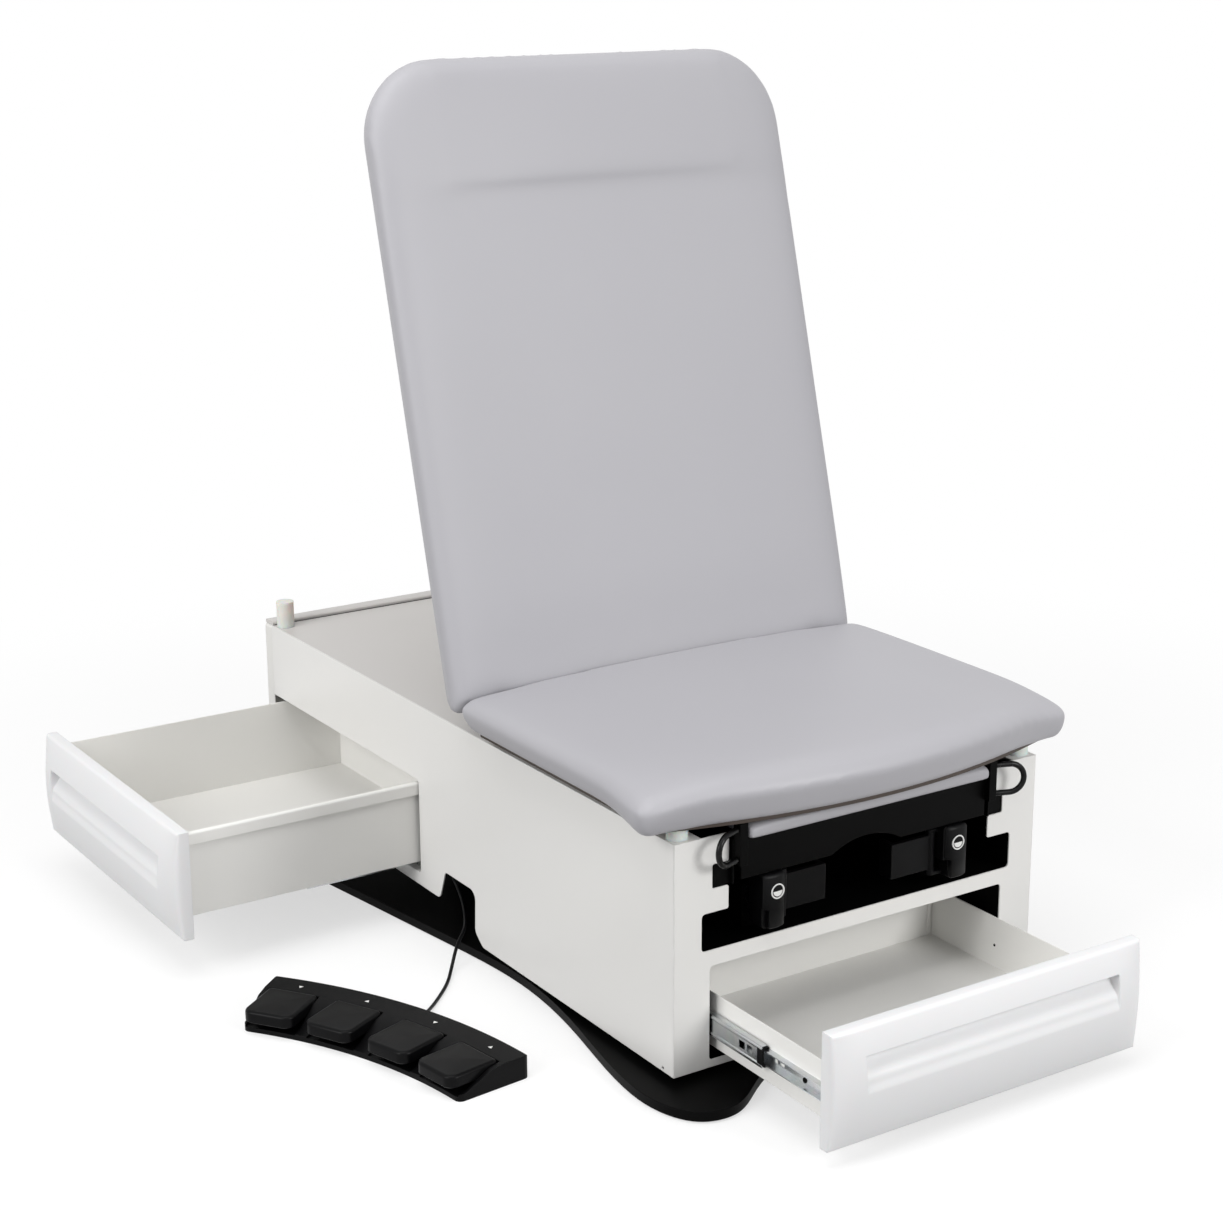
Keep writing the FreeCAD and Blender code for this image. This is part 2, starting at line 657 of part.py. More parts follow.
def front_slide(member):
    """Slide members of the front drawer at both sides, moved out by their share of the drawer's travel."""
    share = {"outer": 0.0, "middle": 0.5, "inner": 1.0}[member]
    start = FRONT_Y + SHEET + SLIDE_SETBACK - share * FRONT_TRAVEL
    if member == "inner":
        start = FRONT_Y - DRAWER_GAP - FRONT_TRAVEL
    end = FRONT_Y + SHEET + FRONT_BOX_DEPTH - SLIDE_SETBACK - share * FRONT_TRAVEL
    fixed = FRONT_BOX_HALF + FRONT_SLIDE_SPACE
    pieces = []
    for depth, width in slide_section(member, FRONT_SLIDE_SPACE):
        x = (fixed - depth[0], fixed - depth[1])
        z = (FRONT_SLIDE_Z + width[0], FRONT_SLIDE_Z + width[1])
        pieces.append(block(x, (start, end), z))
    slide = pieces[0].fuse(pieces[1:]).removeSplitter()
    for offset, length, height in SLIDE_WINDOWS[member]:
        y = (start + offset, start + offset + length)
        z = (FRONT_SLIDE_Z - height / 2, FRONT_SLIDE_Z + height / 2)
        slide = slide.cut(block((FRONT_BOX_HALF, fixed), y, z))
    return both_sides(slide)


def side_slide(member):
    """Slide members under the side drawer, near its front and rear walls."""
    share = {"outer": 0.0, "middle": 0.5, "inner": 1.0}[member]
    start = -INNER_HALF + SLIDE_SETBACK - share * SIDE_TRAVEL
    if member == "inner":
        start = -HALF - DRAWER_GAP - SIDE_TRAVEL
    end = -INNER_HALF + SIDE_BOX_DEPTH - SLIDE_SETBACK - share * SIDE_TRAVEL
    space = SIDE_BOX_LOW - SIDE_OPENING_LOW
    solids = []
    for y in (SIDE_BOX_Y[0] + SIDE_SLIDE_INSET, SIDE_BOX_Y[1] - SIDE_SLIDE_INSET):
        pieces = []
        for depth, width in slide_section(member, space):
            z = (SIDE_OPENING_LOW + depth[0], SIDE_OPENING_LOW + depth[1])
            pieces.append(block((start, end), (y + width[0], y + width[1]), z))
        solids.append(pieces[0].fuse(pieces[1:]).removeSplitter())
    return Part.makeCompound(solids)


def open_box(x, y, z, wall):
    """Drawer box open at the top."""
    inner = block((x[0] + wall, x[1] - wall), (y[0] + wall, y[1] - wall), (z[0] + wall, z[1] + OVERRUN))
    return block(x, y, z).cut(inner)


def front_drawer_box():
    front = FRONT_Y - DRAWER_GAP - FRONT_TRAVEL
    x = (-FRONT_BOX_HALF, FRONT_BOX_HALF)
    return open_box(x, (front, front + FRONT_BOX_DEPTH), (FRONT_BOX_LOW, FRONT_BOX_HIGH), DRAWER_WALL)


def is_crest(edge, y, z):
    """True for the straight edge along X at the given place."""
    middle = edge.BoundBox.Center
    return abs(middle.y - y) < TOLERANCE and abs(middle.z - z) < TOLERANCE


def side_drawer_box():
    """Side drawer's box with a rolled lip along the top of its two long walls."""
    front = -HALF - DRAWER_GAP - SIDE_TRAVEL
    x = (front, front + SIDE_BOX_DEPTH)
    box = open_box(x, SIDE_BOX_Y, (SIDE_BOX_LOW, SIDE_BOX_HIGH), DRAWER_WALL)
    z = (SIDE_BOX_HIGH - SIDE_LIP[1], SIDE_BOX_HIGH)
    for edge, out in ((SIDE_BOX_Y[0], -SIDE_LIP[0]), (SIDE_BOX_Y[1], SIDE_LIP[0])):
        lip = block(x, (edge, edge + out), z)
        crest = [e for e in lip.Edges if is_crest(e, edge + out, SIDE_BOX_HIGH)]
        box = box.fuse(lip.makeFillet(SIDE_LIP[0] * SIDE_LIP_ROUND_SHARE, crest))
    return box.removeSplitter()


def drawer_face(low, high, half, grip_low, grip_high, grip_half):
    """Moulded drawer front lying on its rear plane: depth along -Y, a bulged profile and a scooped grip."""
    edge = FACE_EDGE
    middle = (low + high) / 2
    top = Vector(-half, -edge, high)
    bottom = Vector(-half, -edge, low)
    bulge = Part.Arc(bottom, Vector(-half, -FACE_THICKNESS, middle), top).toShape()
    rear = open_lines([top, Vector(-half, 0, high), Vector(-half, 0, low), bottom])
    face = Part.Face(Part.Wire([bulge] + rear)).extrude(X_AXIS * (2 * half))
    deep = -FACE_THICKNESS + GRIP_DEPTH
    clear = -FACE_THICKNESS - GRIP_LEAD
    scoop = [
        (clear, grip_high),
        (deep, grip_high),
        (deep, grip_high - GRIP_BACK_HEIGHT),
        (clear, grip_low - GRIP_LEAD),
    ]
    return face.cut(prism(scoop, [0, GRIP_CORNERS[0], GRIP_CORNERS[1], 0], "x", -grip_half, grip_half))


def front_drawer_face():
    face = drawer_face(
        FRONT_FACE_LOW, FRONT_FACE_HIGH, FRONT_FACE_HALF, FRONT_GRIP_LOW, FRONT_GRIP_HIGH, FRONT_GRIP_HALF
    )
    return moved(face, (0, FRONT_Y - DRAWER_GAP - FRONT_TRAVEL, 0))


def side_drawer_face():
    half = (SIDE_FACE_Y[1] - SIDE_FACE_Y[0]) / 2
    face = drawer_face(SIDE_FACE_LOW, SIDE_FACE_HIGH, half, SIDE_GRIP_LOW, SIDE_GRIP_HIGH, SIDE_GRIP_HALF)
    face.rotate(Vector(0, 0, 0), Z_AXIS, -90)
    return moved(face, (-HALF - DRAWER_GAP - SIDE_TRAVEL, SIDE_FACE_Y[0] + half, 0))


def stirrup_head():
    """Right stirrup's black handle block with the two ears and the pin of the foot rest."""
    x0 = STIRRUP_X - STIRRUP_HEAD_SIZE[0] / 2
    x1 = STIRRUP_X + STIRRUP_HEAD_SIZE[0] / 2
    y = (STIRRUP_FRONT_Y, STIRRUP_FRONT_Y + STIRRUP_HEAD_SIZE[1])
    step_x, step_z = STIRRUP_HEAD_STEP
    outline = [
        (x0 + step_x, STIRRUP_HEAD_LOW),
        (x1, STIRRUP_HEAD_LOW),
        (x1, STIRRUP_HEAD_HIGH),
        (x0, STIRRUP_HEAD_HIGH),
        (x0, STIRRUP_HEAD_LOW + step_z),
        (x0 + step_x, STIRRUP_HEAD_LOW + step_z),
    ]
    head = prism(outline, [STIRRUP_CORNER] * 4 + [STIRRUP_STEP_CORNER] * 2, "y", y[0], y[1])
    pin_x, pin_y = foot_pivot()
    ear_y = (pin_y - FOOT_BARREL, pin_y + FOOT_BARREL)
    for low in (FOOT_Z[0] - FOOT_EAR, FOOT_Z[1] + FOOT_EAR_GAP):
        high = low + FOOT_EAR - FOOT_EAR_GAP
        ear = block((pin_x, x0 + step_x + FOOT_EAR_LAP), ear_y, (low, high))
        head = head.fuse(ear.fuse(rod((pin_x, pin_y, low), (pin_x, pin_y, high), FOOT_BARREL)))
    pin = rod((pin_x, pin_y, FOOT_Z[0] - FOOT_EAR_GAP), (pin_x, pin_y, FOOT_Z[1] + FOOT_EAR_GAP), FOOT_PIN)
    return head.fuse(pin).removeSplitter()


def foot_pivot():
    x = STIRRUP_X - STIRRUP_HEAD_SIZE[0] / 2 - FOOT_BARREL - FOOT_PIVOT_SPACE[0]
    return x, STIRRUP_FRONT_Y + FOOT_BARREL + FOOT_PIVOT_SPACE[1]


def stirrup_foot():
    """Folding foot rest of the right stirrup: barrel on the head's pin, plate towards the middle, end rim."""
    x, y = foot_pivot()
    barrel = rod((x, y, FOOT_Z[0]), (x, y, FOOT_Z[1]), FOOT_BARREL)
    z = (FOOT_Z[0] + FOOT_INSET, FOOT_Z[1] - FOOT_INSET)
    end = x - FOOT_REACH
    plate = block((end, x), (y - FOOT_THICKNESS / 2, y + FOOT_THICKNESS / 2), z)
    rim = block((end, end + FOOT_THICKNESS), (y, y + FOOT_RIM_DEPTH), z)
    bore = rod((x, y, FOOT_Z[0] - OVERRUN), (x, y, FOOT_Z[1] + OVERRUN), FOOT_PIN + FOOT_PIN_GAP)
    return barrel.fuse([plate, rim]).cut(bore).removeSplitter()


def arm_block(half, y):
    """Square bar on the right stirrup arm's axis."""
    return block((STIRRUP_X - half, STIRRUP_X + half), y, (ARM_Z - half, ARM_Z + half))


def stirrup_arm():
    """Square tube of the right stirrup, closed at its front end by the head."""
    start = STIRRUP_FRONT_Y + STIRRUP_HEAD_SIZE[1]
    end = start + ARM_LENGTH
    inner = ARM_SIZE / 2 - ARM_WALL
    return arm_block(ARM_SIZE / 2, (start, end)).cut(arm_block(inner, (start + ARM_WALL, end + OVERRUN)))


def stirrup_sleeves():
    """Square guides for the stirrup arms on feet that stand in the tray."""
    half = ARM_SIZE / 2 + ARM_GAP
    outer = half + SLEEVE_WALL
    y0 = STIRRUP_FRONT_Y + STIRRUP_HEAD_SIZE[1] + SLEEVE_SETBACK
    y = (y0, y0 + SLEEVE_LENGTH)
    foot = block((STIRRUP_X - outer, STIRRUP_X + outer), y, (TRAY_FLOOR, ARM_Z - outer))
    passage = arm_block(half, (y[0] - OVERRUN, y[1] + OVERRUN))
    return both_sides(arm_block(outer, y).fuse(foot).cut(passage).removeSplitter())


def leg_tray():
    """Leg extension's folded tray: top sheet, side sheets, front panel with its arch, and handle lugs."""
    panel_y = (LEG_PANEL_Y, LEG_PANEL_Y + LEG_PANEL_THICKNESS)
    length = (panel_y[1], LEG_REAR_Y)
    top = block((-LEG_SIDE_X, LEG_SIDE_X), length, (LEG_TRAY_TOP - SHEET, LEG_TRAY_TOP))
    side = block((LEG_SIDE_X, LEG_SIDE_X + SHEET), length, (RUNNER_LOW, LEG_TRAY_TOP))
    panel = block((-LEG_PANEL_HALF, LEG_PANEL_HALF), panel_y, (LEG_PANEL_LOW, LEG_TRAY_TOP))
    bend = (LEG_ARCH_HALF**2 + LEG_ARCH_HEIGHT**2) / (2 * LEG_ARCH_HEIGHT)
    centre = LEG_PANEL_LOW + LEG_ARCH_HEIGHT - bend
    panel = panel.cut(rod((0, panel_y[0] - OVERRUN, centre), (0, panel_y[1] + OVERRUN, centre), bend))
    lug = block(lug_x(), lug_y(), (HANDLE_LOW - LUG_OVER, HANDLE_HIGH + LUG_OVER))
    tray = top.fuse([panel, side, mirrored(side), lug, mirrored(lug)]).removeSplitter()
    for path_start, path_end in handle_seats():
        bore = rod(path_start, path_end, HANDLE_ROD + HANDLE_FIT)
        tray = tray.cut(bore).cut(mirrored(bore))
    return tray


def lug_x():
    return LEG_PAD_HALF + LUG_GAP, LEG_PAD_HALF + LUG_GAP + LUG_SIZE[0]


def lug_y():
    return LEG_PANEL_Y + LEG_PANEL_THICKNESS - LUG_SIZE[1], LEG_PANEL_Y + LEG_PANEL_THICKNESS


def handle_points():
    """Ends of the right handle's straight stretch and its direction, at height zero."""
    splay = math.radians(HANDLE_SPLAY)
    out = Vector(math.cos(splay), -math.sin(splay), 0)
    corner = Vector(lug_x()[1], lug_y()[0] + HANDLE_OFFSET, 0)
    return corner - out * HANDLE_SEAT, corner + out * HANDLE_STRAIGHT, out


def handle_seats():
    seat, end, out = handle_points()
    return [((seat.x, seat.y, z), (end.x, end.y, z)) for z in (HANDLE_LOW, HANDLE_HIGH)]


def pull_handle():
    """U-shaped round bar in an upright plane that points forwards and outwards."""
    seat, end, out = handle_points()
    radius = (HANDLE_HIGH - HANDLE_LOW) / 2
    middle = (HANDLE_HIGH + HANDLE_LOW) / 2

    def at(point, z):
        return Vector(point.x, point.y, z)

    lower = Part.makeLine(at(seat, HANDLE_LOW), at(end, HANDLE_LOW))
    bend = Part.Arc(at(end, HANDLE_LOW), at(end + out * radius, middle), at(end, HANDLE_HIGH)).toShape()
    upper = Part.makeLine(at(end, HANDLE_HIGH), at(seat, HANDLE_HIGH))
    section = Part.Wire(Part.makeCircle(HANDLE_ROD, at(seat, HANDLE_LOW), out))
    return Part.Wire([lower, bend, upper]).makePipeShell([section], True, False)


def leg_runners():
    x = (LEG_SIDE_X + SHEET, LEG_SIDE_X + SHEET + RUNNER_SIZE[0])
    z = (RUNNER_LOW, RUNNER_LOW + RUNNER_SIZE[1])
    return both_sides(block(x, (FRONT_Y + SHEET, LEG_REAR_Y), z))


def leg_guide_rails():
    """Channels round the runner bars, held on the side panels by a flange."""
    inner = LEG_SIDE_X + SHEET + GUIDE_LIP_INSET
    outer = LEG_SIDE_X + SHEET + RUNNER_SIZE[0] + RUNNER_GAP
    low = RUNNER_LOW - RUNNER_GAP
    high = RUNNER_LOW + RUNNER_SIZE[1] + RUNNER_GAP
    y = (FRONT_Y + SHEET, LEG_REAR_Y)
    web = block((outer, outer + SHEET), y, (low - SHEET, high + SHEET))
    floor = block((inner, outer), y, (low - SHEET, low))
    roof = block((inner, outer), y, (high, high + SHEET))
    flange = block((outer + SHEET, INNER_HALF), y, (low - SHEET, low))
    return both_sides(web.fuse([floor, roof, flange]).removeSplitter())


def grown_loft(outline, sections):
    """Soft form through horizontal outlines, each drawn in from the widest one."""
    wires = []
    for height, inset in sections:
        wires.append(outline(height, inset))
    return Part.makeLoft(wires, True, False)


def seat_outline(height, inset, overhang=CUSHION_OVERHANG):
    """Seat seen from above: bowed front edge, round front corners, straight rear edge."""
    slope = math.radians(SEAT_FRONT_SLOPE)
    half = SEAT_HALF + overhang - inset
    apex = SEAT_FRONT_Y - SEAT_FRONT_RADIUS * (1 / math.cos(slope) - 1) + inset / math.cos(slope)
    corner = apex + half * math.tan(slope)
    rear = SEAT_REAR_Y - min(inset, SEAT_REAR_DRAW)
    points = [(-half, rear), (-half, corner), (0, apex), (half, corner), (half, rear)]
    radii = [
        SEAT_REAR_CORNER,
        max(SEAT_FRONT_CORNER - inset, SEAT_CORNER_MIN),
        SEAT_FRONT_RADIUS - inset - SEAT_FRONT_EASE,
        max(SEAT_FRONT_CORNER - inset, SEAT_CORNER_MIN),
        SEAT_REAR_CORNER,
    ]
    return rounded_wire([Vector(x, y, height) for x, y in points], radii)


def back_outline(height, inset, overhang=CUSHION_OVERHANG):
    """Back lying flat: straight lower edge by the hinge, slightly narrower top with large corners."""
    low = -HINGE_NOSE + min(inset, SEAT_REAR_DRAW)
    high = BACK_LENGTH - inset
    half = SEAT_HALF + overhang - inset
    top_half = half - BACK_TOP_NARROW
    points = [(half, low), (top_half, high), (-top_half, high), (-half, low)]
    corner = BACK_TOP_CORNER - inset
    return rounded_wire(
        [Vector(x, y, height) for x, y in points], [SEAT_REAR_CORNER, corner, corner, SEAT_REAR_CORNER]
    )


def vault(half, low, edge, high, length):
    """Block along Y whose top is arched from the height edge at its sides to high in the middle."""
    start = length[0]
    left = Vector(-half, start, edge)
    right = Vector(half, start, edge)
    arc = Part.Arc(right, Vector(0, start, high), left).toShape()
    lines = open_lines([left, Vector(-half, start, low), Vector(half, start, low), right])
    return Part.Face(Part.Wire([arc] + lines)).extrude(Y_AXIS * (length[1] - start))


def crowned(shape, low, high, length):
    """Keeps what lies under a shallow barrel vault that runs the length of the cushion."""
    return shape.common(vault(CUSHION_HALF + OVERRUN, low - OVERRUN, high - CROWN, high, length))


def cushion_sections(low, high):
    """Heights and insets of a cushion's side: drawn in at the board, full at a third, rounded to the top."""
    tall = high - low
    return [(low + share * tall, inset) for share, inset in CUSHION_SIDE]


def seat_cushion():
    loft = grown_loft(seat_outline, cushion_sections(CUSHION_LOW, SEAT_TOP))
    length = (SEAT_FRONT_Y - SEAT_FRONT_CLEAR, SEAT_REAR_Y + CUSHION_CLEAR)
    return crowned(loft, CUSHION_LOW, SEAT_TOP, length)


def seat_board():
    face = Part.Face(seat_outline(SEAT_BOARD_LOW, SEAT_BOARD_INSET, 0))
    return face.extrude(Z_AXIS * BOARD_THICKNESS)


def hinge_pocket():
    """Room in the lower end of the back for the hinge ear and arm at the right side, lying flat."""
    x = (RAIL_X[1] - EAR_THICKNESS - POCKET_MARGIN, RAIL_X[1] + ARM_SIDE_GAP + EAR_THICKNESS + POCKET_MARGIN)
    reach = EAR_RADIUS + POCKET_MARGIN
    return block(x, (-HINGE_NOSE - OVERRUN, reach), (BOARD_LOCAL - OVERRUN, reach))


def pocketed(shape):
    pocket = hinge_pocket()
    return shape.cut(pocket).cut(mirrored(pocket))


def back_cushion():
    """Back's soft form with a fuller head part, built lying flat and then raised."""
    top = HINGE_NOSE + HEADREST_RISE
    low = BOARD_LOCAL + BOARD_THICKNESS
    loft = grown_loft(back_outline, cushion_sections(low, top))
    start = -HINGE_NOSE - CUSHION_CLEAR
    half = CUSHION_HALF + CUSHION_CLEAR
    loft = crowned(loft, low, top, (start, BACK_LENGTH + CUSHION_CLEAR))
    step = BACK_LENGTH - HEADREST_LENGTH
    lower = [
        (start, HINGE_NOSE),
        (step - HEADREST_BAND / 2, HINGE_NOSE),
        (step + HEADREST_BAND / 2, top + HEADREST_RISE),
        (start, top + HEADREST_RISE),
    ]
    loft = loft.cut(prism(lower, [0, HEADREST_BAND, 0, 0], "x", -half, half))
    nose = block((-half, half), (start, 0), (0, HINGE_NOSE + CUSHION_CLEAR))
    nose = nose.cut(rod((-half, 0, 0), (half, 0, 0), HINGE_NOSE))
    return raised(pocketed(loft.cut(nose)))


def back_board():
    face = Part.Face(back_outline(BOARD_LOCAL, SEAT_BOARD_INSET, 0))
    return raised(pocketed(face.extrude(Z_AXIS * BOARD_THICKNESS)))


def crank_direction():
    angle = math.radians(-90 - CRANK_MIDDLE)
    return Vector(0, math.cos(angle), math.sin(angle))


def crank():
    """Slotted plate below the cross bar; the actuator's pin runs in its slot."""
    drop = HINGE_Z - ACTUATOR_Z
    reach = math.radians(max(BACK_ANGLE + BACK_EXTRA - CRANK_MIDDLE, CRANK_MIDDLE))
    near = drop - CRANK_PIN - CRANK_SLOT_SPARE[0]
    far = drop / math.cos(reach) + CRANK_PIN + CRANK_SLOT_SPARE[1]
    out = crank_direction()
    across = Vector(0, -out.z, out.y)
    outer = CRANK_SLOT_HALF + CRANK_WALL

    def at(r, side):
        point = out * r + across * side
        return point.y, point.z

    rib_low = BOARD_LOCAL - RIB_DEPTH
    root = CROSS_BAR[0]
    tip = [at(near - CRANK_WALL, outer), at(far + CRANK_WALL, outer), at(far + CRANK_WALL, -outer)]
    lap = BOARD_LOCAL - CRANK_LAP
    outline = tip + [(root - CRANK_ROOT, lap), (root, lap), (root, rib_low)]
    half = CRANK_THICKNESS / 2
    plate = prism(outline, [0, CRANK_CORNER, CRANK_CORNER, 0, 0, 0], "x", -half, half)
    side = CRANK_SLOT_HALF
    slot = [at(near, side), at(far, side), at(far, -side), at(near, -side)]
    return plate.cut(prism(slot, [CRANK_SLOT_CORNER] * 4, "x", -half - OVERRUN, half + OVERRUN))


def back_frame():
    """Two ribs with hinge arms, a cross bar and the crank, one welded frame behind the board."""
    x0 = RAIL_X[1] + ARM_SIDE_GAP
    low = BOARD_LOCAL - RIB_DEPTH
    rib = block((x0, x0 + EAR_THICKNESS), (-RIB_RADIUS, RIB_LENGTH), (low, BOARD_LOCAL))
    arm = block((x0, x0 + EAR_THICKNESS), (-RIB_RADIUS, RIB_RADIUS), (low, 0))
    arm = arm.fuse(rod((x0, 0, 0), (x0 + EAR_THICKNESS, 0, 0), RIB_RADIUS))
    bore = rod((x0 - OVERRUN, 0, 0), (x0 + EAR_THICKNESS + OVERRUN, 0, 0), HINGE_PIN + PIN_FIT)
    arm = arm.fuse(rib).cut(bore)
    bar = block((-x0, x0), CROSS_BAR, (low, BOARD_LOCAL))
    return raised(bar.fuse([arm, mirrored(arm), crank()]).removeSplitter())


def hinge_pins():
    x0 = RAIL_X[1] - EAR_THICKNESS - HINGE_PIN_PROUD
    x1 = RAIL_X[1] + ARM_SIDE_GAP + EAR_THICKNESS + HINGE_PIN_PROUD
    return both_sides(rod((x0, HINGE_Y, HINGE_Z), (x1, HINGE_Y, HINGE_Z), HINGE_PIN))


def seat_frame():
    """Rails under the seat board with an upright ear at the rear for the back's hinge."""
    rear = HINGE_Y + EAR_LENGTH / 2
    rail = block(RAIL_X, (RAIL_FRONT_Y, SEAT_REAR_Y), (BODY_TOP, SEAT_BOARD_LOW))
    x = (RAIL_X[1] - EAR_THICKNESS, RAIL_X[1])
    foot = block(x, (SEAT_REAR_Y, rear), (BODY_TOP, SEAT_BOARD_LOW))
    ear = foot.fuse(block(x, (rear - EAR_LENGTH, rear), (SEAT_BOARD_LOW, HINGE_Z)))
    ear = ear.fuse(rod((x[0], HINGE_Y, HINGE_Z), (x[1], HINGE_Y, HINGE_Z), EAR_RADIUS))
    bore = rod((x[0] - OVERRUN, HINGE_Y, HINGE_Z), (x[1] + OVERRUN, HINGE_Y, HINGE_Z), HINGE_PIN + PIN_FIT)
    return both_sides(rail.fuse(ear).cut(bore).removeSplitter())


def support_posts():
    x = HALF - POST_INSET
    front = rod((x, POST_FRONT_Y, BODY_TOP), (x, POST_FRONT_Y, SEAT_BOARD_LOW), POST_RADIUS)
    rear = rod((x, POST_REAR_Y, BODY_TOP), (x, POST_REAR_Y, BODY_TOP + POST_REAR_HEIGHT), POST_RADIUS)
    return Part.makeCompound([front, mirrored(front), rear, mirrored(rear)])


def crank_pin_y():
    """Place of the rod's pin along the table at the photographed angle."""
    return HINGE_Y + (HINGE_Z - ACTUATOR_Z) * math.tan(math.radians(BACK_ANGLE - CRANK_MIDDLE))


def back_actuator():
    """Drive tube with its motor housing, bored for the rod."""
    tube = rod((0, ACTUATOR_Y[0], ACTUATOR_Z), (0, ACTUATOR_Y[1], ACTUATOR_Z), ACTUATOR_TUBE)
    half = MOTOR_SIZE[0] / 2
    y = (ACTUATOR_Y[1] - MOTOR_SIZE[1], ACTUATOR_Y[1])
    top = ACTUATOR_Z + ACTUATOR_TUBE - MOTOR_TOP_DROP
    outline = [(-half, top - MOTOR_SIZE[2]), (half, top - MOTOR_SIZE[2]), (half, top), (-half, top)]
    motor = prism(outline, MOTOR_CORNERS, "y", y[0], y[1])
    depth = crank_pin_y() + FORK_LENGTH + ROD_LENGTH + ROD_RUNOUT
    bore = rod((0, ACTUATOR_Y[0] - OVERRUN, ACTUATOR_Z), (0, depth, ACTUATOR_Z), ROD_RADIUS + ROD_FIT)
    return tube.fuse(motor).cut(bore).removeSplitter()


def actuator_brackets():
    """Two clamp blocks that hold the drive tube under the deck."""
    half = CLAMP_SIZE[0] / 2
    z = (ACTUATOR_Z - ACTUATOR_TUBE - CLAMP_UNDER, BODY_TOP - SHEET)
    front = ACTUATOR_Y[0] + CLAMP_MARGIN
    rear = ACTUATOR_Y[1] - MOTOR_SIZE[1] - CLAMP_SIZE[1] - CLAMP_MARGIN
    blocks = []
    for start in (front, rear):
        end = start + CLAMP_SIZE[1]
        passage = rod((0, start, ACTUATOR_Z), (0, end, ACTUATOR_Z), ACTUATOR_TUBE + PIN_FIT)
        blocks.append(block((-half, half), (start, end), z).cut(passage))
    return Part.makeCompound(blocks)


def actuator_rod():
    """Round rod with a fork and cross pin at its front end."""
    y = crank_pin_y()
    bar = rod((0, y + FORK_LENGTH, ACTUATOR_Z), (0, y + FORK_LENGTH + ROD_LENGTH, ACTUATOR_Z), ROD_RADIUS)
    inner = CRANK_THICKNESS / 2 + CRANK_GAP
    outer = inner + FORK_THICKNESS
    z = (ACTUATOR_Z - FORK_HALF, ACTUATOR_Z + FORK_HALF)
    root = block((-outer, outer), (y + FORK_LENGTH - FORK_THICKNESS, y + FORK_LENGTH), z)
    cheek = block((inner, outer), (y - FORK_HALF, y + FORK_LENGTH), z)
    pin = rod((-outer, y, ACTUATOR_Z), (outer, y, ACTUATOR_Z), CRANK_PIN)
    return bar.fuse([root, cheek, mirrored(cheek), pin]).removeSplitter()


def control_box():
    """Electronics housing on the plate with the cord's gland on its left side."""
    half = CONTROL_BOX[0] / 2
    y = (CONTROL_BOX_Y, CONTROL_BOX_Y + CONTROL_BOX[1])
    outline = [(-half, y[0]), (half, y[0]), (half, y[1]), (-half, y[1])]
    box = prism(outline, [CONTROL_BOX_CORNER] * 4, "z", PLATE_TOP, PLATE_TOP + CONTROL_BOX[2])
    gland = rod((-half - GLAND_LENGTH, GLAND_Y, GLAND_Z), (-half, GLAND_Y, GLAND_Z), GLAND_RADIUS)
    return box.fuse(gland).removeSplitter()


def in_foot_frame(shape):
    """Places a shape drawn about the centre of the pedals' arc on the floor beside the table."""
    copy = shape.copy()
    copy.translate(Vector(0, -FOOT_FRONT_RADIUS, 0))
    copy.rotate(Vector(0, 0, 0), Z_AXIS, FOOT_TURN)
    copy.translate(Vector(FOOT_ORIGIN[0], FOOT_ORIGIN[1], 0))
    return copy


def sector(points, half_angle):
    """Solid turned about the centre of the pedals' arc from an outline of radius and height."""
    corners = [Vector(0, radius, z) for radius, z in points]
    face = Part.Face(Part.makePolygon(corners + corners[:1]))
    face.rotate(Vector(0, 0, 0), Z_AXIS, half_angle)
    return face.revolve(Vector(0, 0, 0), Z_AXIS, -2 * half_angle)


def is_upright_end(edge):
    """True for the four straight upright edges of a sector."""
    box = edge.BoundBox
    return box.XLength < TOLERANCE and box.YLength < TOLERANCE and box.ZMin < TOLERANCE


def turned(shape, angle):
    copy = shape.copy()
    copy.rotate(Vector(0, 0, 0), Z_AXIS, -angle)
    return copy


def foot_control_base():
    """Curved housing with a sloping top; each pedal lies in a pocket and hangs on a pin between the lands."""
    rear = FOOT_FRONT_RADIUS + FOOT_DEPTH
    outline = [(FOOT_FRONT_RADIUS, 0)]
    outline += [(FOOT_FRONT_RADIUS + depth, height) for depth, height in FOOT_TOP]
    base = sector(outline + [(rear, 0)], FOOT_HALF_ANGLE)
    rounded = [e for e in base.Edges if is_upright_end(e)]
    base = base.makeFillet(FOOT_CORNER, rounded)
    half = PEDAL_WIDTH / 2 + PEDAL_SIDE_GAP
    pocket_y = (PEDAL_FRONT_RADIUS - OVERRUN, PEDAL_REAR_RADIUS + PEDAL_REAR_GAP)
    pocket = block((-half, half), pocket_y, (FOOT_TRAY, 2 * PEDAL_PIVOT_Z))
    for angle in PEDAL_ANGLES:
        base = base.cut(turned(pocket, angle)).cut(turned(pedal_pin(PEDAL_FIT), angle))
    start, end = relief_ends()
    hole = rod((start.x, start.y, start.z), (end.x, end.y, end.z), RELIEF_RADIUS + PEDAL_FIT)
    return in_foot_frame(base.removeSplitter()).cut(hole)


def pivot_rod(half, radius):
    """Round bar on the pivot axis of a pedal that points along +Y."""
    y = PEDAL_PIVOT_RADIUS
    return rod((-half, y, PEDAL_PIVOT_Z), (half, y, PEDAL_PIVOT_Z), radius)


def pedal_pin(extra):
    return pivot_rod(PEDAL_WIDTH / 2 + PEDAL_SIDE_GAP + PEDAL_PIN_SEAT + extra, PEDAL_PIN + extra)


def pedal_pins():
    pins = [in_foot_frame(turned(pedal_pin(0), angle)) for angle in PEDAL_ANGLES]
    return Part.makeCompound(pins)


